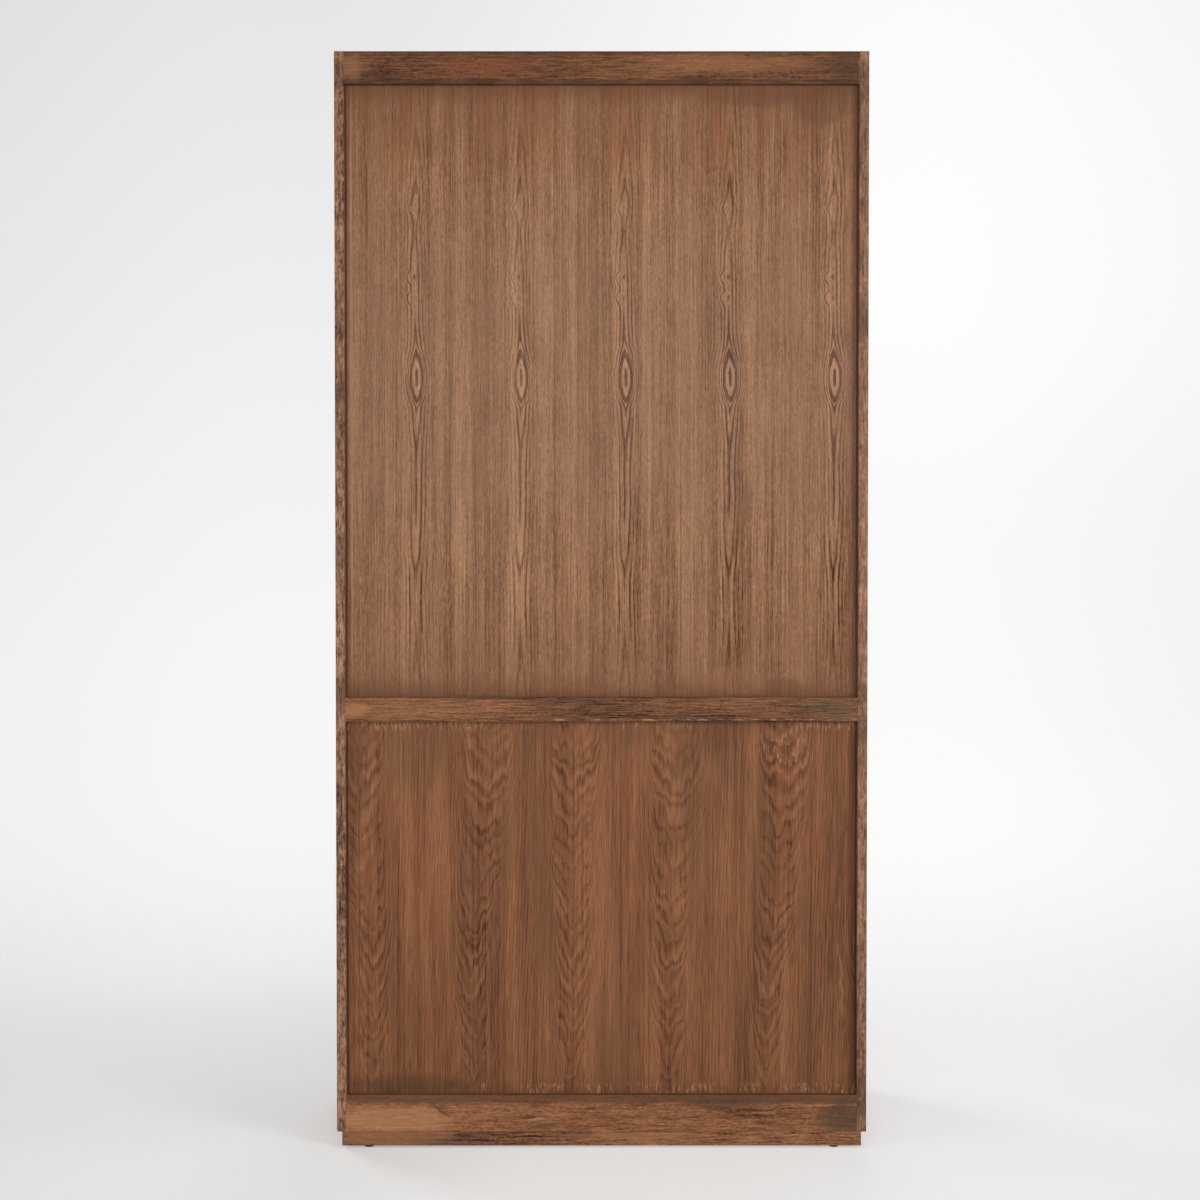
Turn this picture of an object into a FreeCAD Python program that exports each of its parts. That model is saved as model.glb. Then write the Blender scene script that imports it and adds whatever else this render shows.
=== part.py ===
import FreeCAD, Part
import os
import re
import Sketcher
from FreeCAD import Rotation, Vector

# A tall free-standing wooden cabinet with four doors.
# Frame: millimetres, +Z up, the doors face -Y and the panelled back faces +Y.
# The origin lies on the floor under the middle of the cabinet's box.

# Driving dimensions, each written once. Every row is a name, a value and what it is.
SIZES = [
    ("width", 1000, "over the two side panels"),
    ("carcass_depth", 450, "front edge to back edge of a side panel"),
    ("height", 2060, "floor to the top of the cabinet"),
    ("side_thickness", 18, "side panels"),
    ("deck_thickness", 18, "top panel, middle deck and bottom panel"),
    ("rail_thickness", 25, "back rails"),
    ("top_rail_height", 60.5, "front and back top rails"),
    ("middle_rail_height", 46, "front and back middle rails"),
    ("bottom_rail_height", 69, "front and back bottom rails"),
    ("lower_opening", 706.5, "between the bottom and middle rails"),
    ("arris", 1.0, "eased edge of a board"),
    ("outer_arris", 2.2, "eased outer edge of a side panel"),
    ("joint_clearance", 0.2, "round tenons, tongues and panels in their grooves"),
    ("tenon_length", 11, "stub tenons of the carcass rails"),
    ("tenon_thickness", 9, "stub tenons of the carcass rails"),
    ("tenon_shoulder", 9, "above and below each stub tenon"),
    ("dado_depth", 5, "sinking of the decks into the sides"),
    ("back_panel_thickness", 5, "veneered back panels"),
    ("back_recess", 15, "back panels behind the back face of the rails"),
    ("back_groove_depth", 7, "grooves that hold the back panels"),
    ("panel_play", 1, "room for a panel to swell in its groove"),
    ("plinth_height", 26.5, "plinth boards"),
    ("plinth_thickness", 24, "plinth boards"),
    ("plinth_side_step", 10, "plinth inside the outer face of a side panel"),
    ("plinth_front_step", 12, "plinth behind the front face"),
    ("glide_height", 4.5, "floor to the plinth"),
    ("glide_radius", 10, "domed floor glides"),
    ("glide_round", 3.8, "rounding under a glide"),
    ("glide_inset", 50, "glide centre to the end of the plinth"),
    ("glide_nail_radius", 1.3, "nail of a glide"),
    ("glide_nail_length", 15, "nail of a glide"),
    ("shelf_thickness", 18, "loose shelves"),
    ("shelf_end_gap", 1, "shelf end to side panel"),
    ("shelf_back_gap", 3, "shelf to back panel"),
    ("shelf_setback", 12, "shelf behind the doors"),
    ("shelf_pin_radius", 2.5, "shelf pins"),
    ("shelf_pin_length", 19, "shelf pins"),
    ("shelf_pin_sunk", 10, "shelf pin in the side panel"),
    ("shelf_pin_inset", 48, "shelf pin to the edge of its shelf"),
    ("shelf_pin_chamfer", 0.6, "end of a shelf pin"),
    ("shelf_pitch", 32, "between spare pin holes"),
    ("lower_shelf_share", 0.5089, "lower opening below the lower shelf"),
    ("upper_shelf_share", 0.3383, "upper opening below each upper shelf"),
    ("door_gap", 2, "round each door"),
    ("door_thickness", 22, "door frames, and the front rails between them"),
    ("stile_width", 52, "door stiles"),
    ("door_rail_height", 62, "door rails"),
    ("door_tenon_length", 30, "door rail tenons"),
    ("door_tenon_thickness", 8, "door rail tenons"),
    ("door_tenon_shoulder", 10, "above and below a door rail tenon"),
    ("door_panel_thickness", 9, "solid panels of the lower doors"),
    ("door_panel_recess", 6, "door panel behind the door's face"),
    ("door_groove_depth", 8, "grooves that hold the door panels"),
    ("slat_width", 12, "upright slats of the upper doors"),
    ("slat_depth", 14, "upright slats of the upper doors"),
    ("slat_tenon", 8, "slat end in the door rail"),
    ("leaf_height", 66, "hinges"),
    ("leaf_thickness", 1.6, "hinge leaves"),
    ("door_leaf_width", 34, "hinge axis to the edge of the door's leaf"),
    ("frame_leaf_width", 15.5, "hinge axis to the edge of the frame's leaf"),
    ("knuckle_radius", 3.4, "hinge knuckles"),
    ("knuckle_length", 26, "middle knuckle of a hinge"),
    ("knuckle_gap", 0.3, "between knuckles, and between a knuckle and a leaf"),
    ("hinge_pin_radius", 1.5, "hinge pins"),
    ("running_clearance", 0.06, "round hinge pins and pull pins"),
    ("pin_head_radius", 3.0, "turned heads of a hinge pin"),
    ("pin_head_height", 4.5, "turned heads of a hinge pin"),
    ("upper_hinge_inset", 130, "hinge centre to the end of an upper door"),
    ("lower_hinge_inset", 105, "hinge centre to the end of a lower door"),
    ("plate_radius", 47, "round plate shared by a pair of doors"),
    ("plate_thickness", 1.6, "round plate"),
    ("plate_inset", 1.2, "plate to the meeting edge of its door"),
    ("plate_edge", 0.5, "chamfer round the plate"),
    ("upper_plate_rise", 400, "plate centre above the foot of an upper door"),
    ("lower_plate_drop", 235, "plate centre below the head of a lower door"),
    ("pull_offset", 23, "pull to the middle of the cabinet"),
    ("pull_rise", 16, "pull pin above the middle of the plate"),
    ("pull_standoff", 12.5, "pull pin in front of the door"),
    ("pull_pin_radius", 1.5, "pin that carries a pull"),
    ("ear_thickness", 2.2, "ears that carry a pull"),
    ("ear_radius", 3.4, "ears that carry a pull"),
    ("barrel_length", 5, "eye of a pull"),
    ("barrel_radius", 3.2, "eye of a pull"),
    ("ear_gap", 0.3, "eye of a pull to each ear"),
    ("drop_length", 50, "pull pin to the tip of the pull"),
    ("drop_radius", 5.6, "widest part of the pull"),
    ("catch_width", 60, "magnetic catch housing"),
    ("catch_depth", 16, "magnetic catch housing"),
    ("catch_height", 40, "magnetic catch housing"),
    ("catch_air", 0.3, "catch to strike plate"),
    ("strike_width", 15, "strike plates"),
    ("strike_height", 13, "strike plates"),
    ("strike_thickness", 1.2, "strike plates"),
    ("strike_inset", 5, "strike plate to the edges of its stile"),
]

# Slats in each upper door, spare pin holes above and below each pin, and hinges on each door.
SLAT_COUNT = 9
SPARE_HOLE_COUNT = 1
UPPER_HINGE_COUNT = 3
LOWER_HINGE_COUNT = 2

# Half profile of a pull below its eye, as shares of the pull's length and of its widest radius.
PULL_SHARES = [
    (0.10, 0.36), (0.19, 0.34), (0.27, 0.50), (0.42, 0.66), (0.58, 0.88),
    (0.70, 1.00), (0.80, 0.92), (0.87, 0.62), (0.90, 0.34), (0.925, 0.40),
    (0.95, 0.48), (0.98, 0.38), (1.00, 0.16),
]
# Half profile of a hinge pin's head, as shares of its height and radius.
HEAD_SHARES = [(0.0, 1.0), (0.3, 1.0), (0.4, 0.62), (0.55, 0.62), (0.8, 0.72), (1.0, 0.3)]

# Places worked out from the sizes above.
PLACES = [
    ("plinth_top", "glide_height + plinth_height"),
    ("bottom_rail_top", "plinth_top + bottom_rail_height"),
    ("middle_rail_foot", "bottom_rail_top + lower_opening"),
    ("middle_rail_top", "middle_rail_foot + middle_rail_height"),
    ("top_rail_foot", "height - top_rail_height"),
    ("upper_opening", "top_rail_foot - middle_rail_top"),
    ("inner_width", "width - 2 * side_thickness"),
    ("pull_front", "pull_standoff + drop_radius"),
    ("back_y", "(carcass_depth + pull_front) / 2"),
    ("front_y", "back_y - carcass_depth"),
    ("middle_y", "(back_y + front_y) / 2"),
    ("door_back", "front_y + door_thickness"),
    ("door_y", "front_y + door_thickness / 2"),
    ("back_rail_y", "back_y - rail_thickness / 2"),
    ("back_rail_front", "back_y - rail_thickness"),
    ("deck_depth", "back_rail_front - door_back"),
    ("deck_y", "(back_rail_front + door_back) / 2"),
    ("deck_width", "inner_width + 2 * dado_depth"),
    ("panel_y", "back_y - back_recess - back_panel_thickness / 2"),
    ("panel_front", "back_y - back_recess - back_panel_thickness"),
    ("panel_reach", "back_groove_depth - panel_play"),
    ("panel_groove", "back_panel_thickness + 2 * joint_clearance"),
    ("side_x", "(width - side_thickness) / 2"),
    ("side_height", "height - plinth_top"),
    ("plinth_width", "width - 2 * plinth_side_step"),
    ("plinth_front_y", "front_y + plinth_front_step + plinth_thickness / 2"),
    ("plinth_back_y", "back_y - plinth_thickness / 2"),
    ("glide_x", "plinth_width / 2 - glide_inset"),
    ("door_width", "(inner_width - 3 * door_gap) / 2"),
    ("door_opening", "door_width - 2 * stile_width"),
    ("hinge_stile_x", "door_gap / 2 + door_width - stile_width / 2"),
    ("meeting_stile_x", "door_gap / 2 + stile_width / 2"),
    ("door_x", "(door_width + door_gap) / 2"),
    ("lower_door_foot", "bottom_rail_top + door_gap"),
    ("lower_door_height", "lower_opening - 2 * door_gap"),
    ("upper_door_foot", "middle_rail_top + door_gap"),
    ("upper_door_height", "upper_opening - 2 * door_gap"),
    ("door_panel_y", "front_y + door_panel_recess + door_panel_thickness / 2"),
    ("door_panel_groove", "door_panel_thickness + 2 * joint_clearance"),
    ("door_panel_reach", "door_groove_depth - panel_play"),
    ("slat_pitch", "door_opening / slat_spaces"),
    ("hinge_x", "(inner_width + door_gap) / 2 - door_gap"),
    ("hinge_y", "front_y - knuckle_radius"),
    ("bore_radius", "hinge_pin_radius + running_clearance"),
    ("end_knuckle", "(leaf_height - knuckle_length) / 2 - knuckle_gap"),
    ("shelf_front", "door_back + shelf_setback"),
    ("shelf_back", "panel_front - shelf_back_gap"),
    ("shelf_depth", "shelf_back - shelf_front"),
    ("shelf_y", "(shelf_back + shelf_front) / 2"),
    ("lower_shelf_foot", "bottom_rail_top + lower_opening * lower_shelf_share"),
    ("upper_shelf_rise", "upper_opening * upper_shelf_share"),
    ("low_shelf_foot", "middle_rail_top + upper_shelf_rise"),
    ("high_shelf_foot", "low_shelf_foot + shelf_thickness + upper_shelf_rise"),
    ("upper_plate_z", "upper_door_foot + upper_plate_rise"),
    ("lower_plate_z", "lower_door_foot + lower_door_height - lower_plate_drop"),
]

doc = FreeCAD.newDocument("cabinet")


def make_sheet():
    """Write the sizes and the places into one sheet, each cell with its name as alias."""
    sheet = doc.addObject("Spreadsheet::Sheet", "Sizes")
    rows = [(name, str(value), note) for name, value, note in SIZES]
    rows += [("slat_spaces", str(SLAT_COUNT + 1), "spaces between the slats of a door")]
    rows += [(name, "=" + formula, "worked out") for name, formula in PLACES]
    for index, (name, content, note) in enumerate(rows, start=1):
        sheet.set(f"A{index}", name)
        sheet.set(f"B{index}", content)
        sheet.set(f"C{index}", note)
        sheet.setAlias(f"B{index}", name)
    doc.recompute()
    return sheet


SHEET = make_sheet()


def bind(thing, prop, formula):
    """Tie one property of an object to a formula on the sheet's names."""
    thing.setExpression(prop, re.sub(r"([a-z]\w*)", r"Sizes.\1", formula))


def place(thing, x="0", y="0", z="0"):
    """Tie an object's position to the sheet."""
    bind(thing, "Placement.Base.x", x)
    bind(thing, "Placement.Base.y", y)
    bind(thing, "Placement.Base.z", z)


def new_body(label):
    """An empty body with the sub-part's label."""
    body = doc.addObject("PartDesign::Body", label)
    body.Label = label
    return body


def new_sketch(body, name, role):
    """An empty sketch on one of the body's own origin planes."""
    origin = next(item for item in body.Origin.OriginFeatures if item.Role == role)
    sketch = body.newObject("Sketcher::SketchObject", name)
    sketch.AttachmentSupport = [(origin, "")]
    sketch.MapMode = "FlatFace"
    return sketch


def dimension(sketch, name, formula, kind, *ends):
    """Add a named dimension between two points of a sketch and tie it to a formula."""
    index = sketch.addConstraint(Sketcher.Constraint(kind, *ends, 1.0))
    sketch.renameConstraint(index, name)
    bind(sketch, "Constraints." + name, formula)


def closed_outline(sketch, points):
    """Join points, each with the start of the next, by straight lines."""
    count = len(points)
    for index, point in enumerate(points):
        sketch.addGeometry(Part.LineSegment(point, points[(index + 1) % count]), False)
    for index in range(count):
        sketch.addConstraint(Sketcher.Constraint("Coincident", index, 2, (index + 1) % count, 1))


def board(label, across, deep, tall, eased_axis=None):
    """A board on its own origin, centred in X and Y, with the edges along one axis eased."""
    body = new_body(label)
    sketch = new_sketch(body, "outline", "XY_Plane")
    closed_outline(sketch, [Vector(-1, -1), Vector(1, -1), Vector(1, 1), Vector(-1, 1)])
    for index in (0, 2):
        sketch.addConstraint(Sketcher.Constraint("Horizontal", index))
        sketch.addConstraint(Sketcher.Constraint("Vertical", index + 1))
    sketch.addConstraint(Sketcher.Constraint("Symmetric", 0, 1, 2, 1, -1, 1))
    dimension(sketch, "across", across, "DistanceX", 0, 1, 0, 2)
    dimension(sketch, "deep", deep, "DistanceY", 1, 1, 1, 2)
    pad = body.newObject("PartDesign::Pad", "sawn")
    pad.Profile = sketch
    bind(pad, "Length", tall)
    doc.recompute([sketch, pad, body])
    if eased_axis is not None:
        ease(body, "arris", lambda edge: runs_along(edge, eased_axis))
    return body


def runs_along(edge, axis):
    """Whether a straight edge runs along one axis: 0 is X, 1 is Y and 2 is Z."""
    return isinstance(edge.Curve, Part.Line) and abs(edge.Curve.Direction[axis]) > PARALLEL_SHARE


def ease(body, radius, wanted):
    """Round the edges of a body that a test picks out."""
    tip = body.Tip
    names = [f"Edge{index + 1}" for index, edge in enumerate(tip.Shape.Edges) if wanted(edge)]
    fillet = body.newObject("PartDesign::Fillet", "eased")
    fillet.Base = (tip, names)
    bind(fillet, "Radius", radius)
    doc.recompute([fillet, body])


def block(body, kind, size, centre, foot):
    """A box on a body, centred in X and Y, with its foot at a height."""
    feature = body.newObject("PartDesign::" + kind + "Box", "block")
    for prop, formula in zip(("Length", "Width", "Height"), size):
        bind(feature, prop, formula)
    place(feature, f"{centre[0]} - ({size[0]}) / 2", f"{centre[1]} - ({size[1]}) / 2", foot)
    doc.recompute([feature, body])


def rod(body, kind, radius, length, start, turn):
    """A cylinder on a body, from a start point along the turned Z axis."""
    feature = body.newObject("PartDesign::" + kind + "Cylinder", "rod")
    bind(feature, "Radius", radius)
    bind(feature, "Height", length)
    feature.Placement = FreeCAD.Placement(Vector(), turn)
    place(feature, *start)
    doc.recompute([feature, body])


def cut(body, size, centre, foot):
    """Cut a box out of a body."""
    before = body.Shape.Volume
    block(body, "Subtractive", size, centre, foot)
    if body.Shape.Volume >= before:
        raise ValueError("a cut misses " + body.Label)


def bore(body, radius, length, start, turn):
    """Cut a round hole into a body."""
    before = body.Shape.Volume
    rod(body, "Subtractive", radius, length, start, turn)
    if body.Shape.Volume >= before:
        raise ValueError("a bore misses " + body.Label)


def turned(label, profile):
    """A body turned about its Z axis from a half profile of radius and height formulas."""
    body = new_body(label)
    sketch = new_sketch(body, "profile", "XZ_Plane")
    points = [Vector(index, index * index) for index in range(len(profile))]
    closed_outline(sketch, points)
    for index, (radius, height) in enumerate(profile):
        if radius == "0":
            sketch.addConstraint(Sketcher.Constraint("PointOnObject", index, 1, -2))
        else:
            dimension(sketch, f"radius{index}", radius, "DistanceX", -1, 1, index, 1)
        dimension(sketch, f"rise{index}", height, "DistanceY", -1, 1, index, 1)
    feature = body.newObject("PartDesign::Revolution", "turning")
    feature.Profile = sketch
    feature.ReferenceAxis = (sketch, ["V_Axis"])
    doc.recompute([sketch, feature, body])
    return body


def copies(label, master, spots):
    """A group of separate solids: copies of a master, each at its own spot and turn."""
    links = []
    for index, (x, y, z, turn) in enumerate(spots, start=1):
        link = doc.addObject("App::Link", f"{label}_{index}")
        link.setLink(master)
        link.Placement = FreeCAD.Placement(Vector(), turn)
        place(link, x, y, z)
        links.append(link)
    group = doc.addObject("Part::Compound", label)
    group.Label = label
    group.Links = links
    return group


def mirrored(source, label):
    """The same piece on the cabinet's left, mirrored from the one on its right."""
    feature = doc.addObject("Part::Mirroring", label)
    feature.Label = label
    feature.Source = source
    feature.Normal = Vector(1, 0, 0)
    return feature


PARALLEL_SHARE = 0.99
FLAT_SHARE = 0.001
UPRIGHT = Rotation()
ALONG_X = Rotation(Vector(0, 1, 0), 90)
END_FOR_END = Rotation(Vector(0, 1, 0), 180)
SIDES = ["-1", "1"]
SHELF_FEET = ["lower_shelf_foot", "low_shelf_foot", "high_shelf_foot"]
PIN_ROWS_Y = ["(shelf_front + shelf_pin_inset)", "(shelf_back - shelf_pin_inset)"]
RAILS = [
    ("top_rail", "top_rail_foot", "top_rail_height"),
    ("middle_rail", "middle_rail_foot", "middle_rail_height"),
    ("bottom_rail", "plinth_top", "bottom_rail_height"),
]


def side_panel(label):
    """The right side panel: pin holes, dados, mortises and the back panels' groove."""
    body = board(label, "side_thickness", "carcass_depth", "side_height")
    ease(body, "outer_arris", lambda edge: runs_along(edge, 2) and edge.CenterOfMass.x > 0)
    ease(body, "arris", lambda edge: runs_along(edge, 2) and edge.CenterOfMass.x < 0)
    inner_x = "-side_thickness / 2"
    for foot in SHELF_FEET:
        for row_y in PIN_ROWS_Y:
            for step in range(-SPARE_HOLE_COUNT, SPARE_HOLE_COUNT + 1):
                height = f"{foot} - shelf_pin_radius + {step} * shelf_pitch - plinth_top"
                start = (inner_x, f"{row_y} - middle_y", height)
                bore(body, "shelf_pin_radius + running_clearance", "shelf_pin_sunk", start, ALONG_X)
    for foot in ("bottom_rail_top", "middle_rail_top", "height"):
        size = ("dado_depth", "deck_depth", "deck_thickness")
        centre = (f"{inner_x} + dado_depth / 2", "deck_y - middle_y")
        cut(body, size, centre, f"{foot} - deck_thickness - plinth_top")
    depth = "(tenon_length + joint_clearance)"
    for _, foot, tall in RAILS:
        for rail_y in ("door_y", "back_rail_y"):
            size = (
                depth,
                "tenon_thickness + 2 * joint_clearance",
                f"{tall} - 2 * tenon_shoulder + 2 * joint_clearance",
            )
            centre = (f"{inner_x} + {depth} / 2", f"{rail_y} - middle_y")
            cut(body, size, centre, f"{foot} + tenon_shoulder - joint_clearance - plinth_top")
    size = (
        "back_groove_depth",
        "panel_groove",
        "top_rail_foot - bottom_rail_top + 2 * back_groove_depth",
    )
    centre = (f"{inner_x} + back_groove_depth / 2", "panel_y - middle_y")
    cut(body, size, centre, "bottom_rail_top - back_groove_depth - plinth_top")
    place(body, "side_x", "middle_y", "plinth_top")
    return body


def deck(label, top):
    """A fixed deck let into both side panels, with its top at a height."""
    body = board(label, "deck_width", "deck_depth", "deck_thickness")
    place(body, "0", "deck_y", f"{top} - deck_thickness")
    return body


def carcass_rail(label, y, foot, tall, thick, groove_feet=()):
    """A rail between the side panels with a stub tenon on each end."""
    body = board(label, "inner_width", thick, tall, 0)
    for end in SIDES:
        size = ("tenon_length", "tenon_thickness", f"{tall} - 2 * tenon_shoulder")
        centre = (f"{end} * (inner_width + tenon_length) / 2", "0")
        block(body, "Additive", size, centre, "tenon_shoulder")
    for groove_foot in groove_feet:
        size = ("inner_width", "panel_groove", "back_groove_depth")
        cut(body, size, ("0", f"panel_y - {y}"), groove_foot)
    place(body, "0", y, foot)
    return body


def carcass_rails():
    """Three rails in front, and three behind that hold the back panels."""
    grooves = {
        "top_rail": ["0"],
        "middle_rail": ["0", "middle_rail_height - back_groove_depth"],
        "bottom_rail": ["bottom_rail_height - back_groove_depth"],
    }
    rails = []
    for name, foot, tall in RAILS:
        rails.append(carcass_rail("front_" + name, "door_y", foot, tall, "door_thickness"))
        behind = ("back_rail_y", foot, tall, "rail_thickness", grooves[name])
        rails.append(carcass_rail("back_" + name, *behind))
    return rails


def back_panel(label, foot, opening):
    """A veneered panel held in grooves on all four edges."""
    body = board(label, "inner_width + 2 * panel_reach", "back_panel_thickness",
                 f"{opening} + 2 * panel_reach")
    place(body, "0", "panel_y", f"{foot} - panel_reach")
    return body


def plinth_board(label, y):
    """A front or back plinth board with two nail holes for its glides."""
    body = board(label, "plinth_width", "plinth_thickness", "plinth_height", 0)
    for end in SIDES:
        start = (f"{end} * glide_x", "0", "0")
        bore(body, "glide_nail_radius + running_clearance", "glide_nail_length", start, UPRIGHT)
    place(body, "0", y, "glide_height")
    return body


def plinth_sides():
    """The two plinth boards that run from front to back."""
    master = board("plinth_side_board", "plinth_thickness",
                   "plinth_back_y - plinth_front_y - plinth_thickness", "plinth_height")
    x = "(plinth_width - plinth_thickness) / 2"
    y = "(plinth_back_y + plinth_front_y) / 2"
    spots = [(f"{side} * {x}", y, "glide_height", UPRIGHT) for side in SIDES]
    return copies("plinth_sides", master, spots)


def floor_glides():
    """Domed glides, each nailed into the plinth from below."""
    master = new_body("glide_master")
    rod(master, "Additive", "glide_radius", "glide_height", ("0", "0", "0"), UPRIGHT)
    ease(master, "glide_round", lambda edge: edge.BoundBox.ZMax < edge.Length * FLAT_SHARE)
    start = ("0", "0", "glide_height")
    rod(master, "Additive", "glide_nail_radius", "glide_nail_length", start, UPRIGHT)
    spots = [
        (f"{side} * glide_x", y, "0", UPRIGHT)
        for side in SIDES
        for y in ("plinth_front_y", "plinth_back_y")
    ]
    return copies("floor_glides", master, spots)


def shelf(label, foot):
    """A loose shelf that rests on four pins."""
    body = board(label, "inner_width - 2 * shelf_end_gap", "shelf_depth", "shelf_thickness", 0)
    place(body, "0", "shelf_y", foot)
    return body


def shelf_pins():
    """Four pins under each shelf, each pressed into a side panel."""
    master = turned("shelf_pin_master", [
        ("0", "0"),
        ("shelf_pin_radius - shelf_pin_chamfer", "0"),
        ("shelf_pin_radius", "shelf_pin_chamfer"),
        ("shelf_pin_radius", "shelf_pin_length - shelf_pin_chamfer"),
        ("shelf_pin_radius - shelf_pin_chamfer", "shelf_pin_length"),
        ("0", "shelf_pin_length"),
    ])
    start_x = [
        "-inner_width / 2 - shelf_pin_sunk",
        "inner_width / 2 + shelf_pin_sunk - shelf_pin_length",
    ]
    spots = [
        (x, y, f"{foot} - shelf_pin_radius", ALONG_X)
        for foot in SHELF_FEET
        for x in start_x
        for y in PIN_ROWS_Y
    ]
    return copies("shelf_pins", master, spots)


def door_catches():
    """Housings with two magnets each, on the back of the front rails above the doors."""
    master = board("catch_master", "catch_width", "catch_depth", "catch_height", 0)
    step = "(strike_thickness + catch_air)"
    cut(master, ("catch_width", step, "catch_height / 2"),
        ("0", f"({step} - catch_depth) / 2"), "0")
    spots = [
        ("0", "door_back + catch_depth / 2", f"{foot} - catch_height / 2", UPRIGHT)
        for foot in ("middle_rail_foot", "top_rail_foot")
    ]
    return copies("door_catches", master, spots)


def leaf_master(label, way, width, knuckles):
    """A hinge leaf with its knuckles about the local Z axis; way is the side it lies on."""
    body = new_body(label)
    plate = f"({width} - knuckle_radius - knuckle_gap)"
    plate_y = "knuckle_radius - leaf_thickness / 2"
    centre = (f"{way} * ({width} - {plate} / 2)", plate_y)
    block(body, "Additive", (plate, "leaf_thickness", "leaf_height"), centre, "-leaf_height / 2")
    bridge = "(knuckle_radius + knuckle_gap)"
    for foot, length in knuckles:
        centre = (f"{way} * {bridge} / 2", plate_y)
        block(body, "Additive", (bridge, "leaf_thickness", length), centre, foot)
        rod(body, "Additive", "knuckle_radius", length, ("0", "0", foot), UPRIGHT)
    bore(body, "bore_radius", "leaf_height", ("0", "0", "-leaf_height / 2"), UPRIGHT)
    return body


def hinge_heights(foot, tall, inset, count):
    """Centre heights of a door's hinges, evenly spaced between its end hinges."""
    return [
        f"({foot} + {inset} + ({tall} - 2 * {inset}) * {index} / {count - 1})"
        for index in range(count)
    ]


DOORS = [
    ("lower", "lower_door_foot", "lower_door_height", "lower_plate_z",
     hinge_heights("lower_door_foot", "lower_door_height", "lower_hinge_inset",
                   LOWER_HINGE_COUNT)),
    ("upper", "upper_door_foot", "upper_door_height", "upper_plate_z",
     hinge_heights("upper_door_foot", "upper_door_height", "upper_hinge_inset",
                   UPPER_HINGE_COUNT)),
]


def hinge_pins():
    """A turned pin with a head at each end through every hinge."""
    head = [
        (f"{radius} * pin_head_radius", f"leaf_height / 2 + {rise} * pin_head_height")
        for rise, radius in HEAD_SHARES
    ]
    foot = [(radius, f"-({rise})") for radius, rise in reversed(head)]
    shaft = [("hinge_pin_radius", "-leaf_height / 2"), ("hinge_pin_radius", "leaf_height / 2")]
    profile = [("0", foot[0][1])] + foot + shaft + head + [("0", head[-1][1])]
    master = turned("hinge_pin_master", profile)
    return copies("hinge_pins", master, every_hinge())


def every_hinge():
    """The spot and turn of every hinge on the cabinet."""
    turns = {"-1": END_FOR_END, "1": UPRIGHT}
    return [
        (f"{side} * hinge_x", "hinge_y", height, turns[side])
        for side in SIDES
        for door in DOORS
        for height in door[4]
    ]


def door_stile(label, x, inward, foot, tall, grooved):
    """An upright of a door frame, mortised for both rails; inward is its inner edge's side."""
    body = board(label, "stile_width", "door_thickness", tall, 2)
    depth = "(door_tenon_length + joint_clearance)"
    size = (
        depth,
        "door_tenon_thickness + 2 * joint_clearance",
        "door_rail_height - 2 * door_tenon_shoulder + 2 * joint_clearance",
    )
    centre = (f"{inward} * (stile_width - {depth}) / 2", "0")
    for rail_foot in ("0", f"{tall} - door_rail_height"):
        cut(body, size, centre, f"{rail_foot} + door_tenon_shoulder - joint_clearance")
    if grooved:
        size = (
            "door_groove_depth",
            "door_panel_groove",
            f"{tall} - 2 * door_rail_height + 2 * door_groove_depth",
        )
        centre = (f"{inward} * (stile_width - door_groove_depth) / 2", "door_panel_y - door_y")
        cut(body, size, centre, "door_rail_height - door_groove_depth")
    place(body, x, "door_y", foot)
    return body


def slat_x(index):
    """How far a slat lies from the middle of its door."""
    return f"({index} * slat_pitch - door_opening / 2)"


def door_rail(label, foot, edge_foot, filling):
    """A cross rail of a door frame; edge_foot is the foot of its groove or slat mortises."""
    body = board(label, "door_opening", "door_thickness", "door_rail_height", 0)
    for end in SIDES:
        size = (
            "door_tenon_length",
            "door_tenon_thickness",
            "door_rail_height - 2 * door_tenon_shoulder",
        )
        centre = (f"{end} * (door_opening + door_tenon_length) / 2", "0")
        block(body, "Additive", size, centre, "door_tenon_shoulder")
    if filling == "panel":
        size = ("door_opening", "door_panel_groove", "door_groove_depth")
        cut(body, size, ("0", "door_panel_y - door_y"), edge_foot)
    else:
        size = ("slat_width", "slat_depth", "slat_tenon")
        for index in range(1, SLAT_COUNT + 1):
            cut(body, size, (slat_x(index), "0"), edge_foot)
    place(body, "door_x", "door_y", foot)
    return body


def door_panel(label, foot, tall):
    """A solid panel held in the grooves of a lower door's frame."""
    body = board(label, "door_opening + 2 * door_panel_reach", "door_panel_thickness",
                 f"{tall} - 2 * door_rail_height + 2 * door_panel_reach")
    place(body, "door_x", "door_panel_y", f"{foot} + door_rail_height - door_panel_reach")
    return body


def door_slats(label, foot, tall):
    """Upright slats let into the rails of an upper door."""
    master = board("slat_master", "slat_width", "slat_depth",
                   f"{tall} - 2 * door_rail_height + 2 * slat_tenon", 2)
    slat_foot = f"{foot} + door_rail_height - slat_tenon"
    spots = [
        (f"door_x + {slat_x(index)}", "door_y", slat_foot, UPRIGHT)
        for index in range(1, SLAT_COUNT + 1)
    ]
    return copies(label, master, spots)


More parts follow.
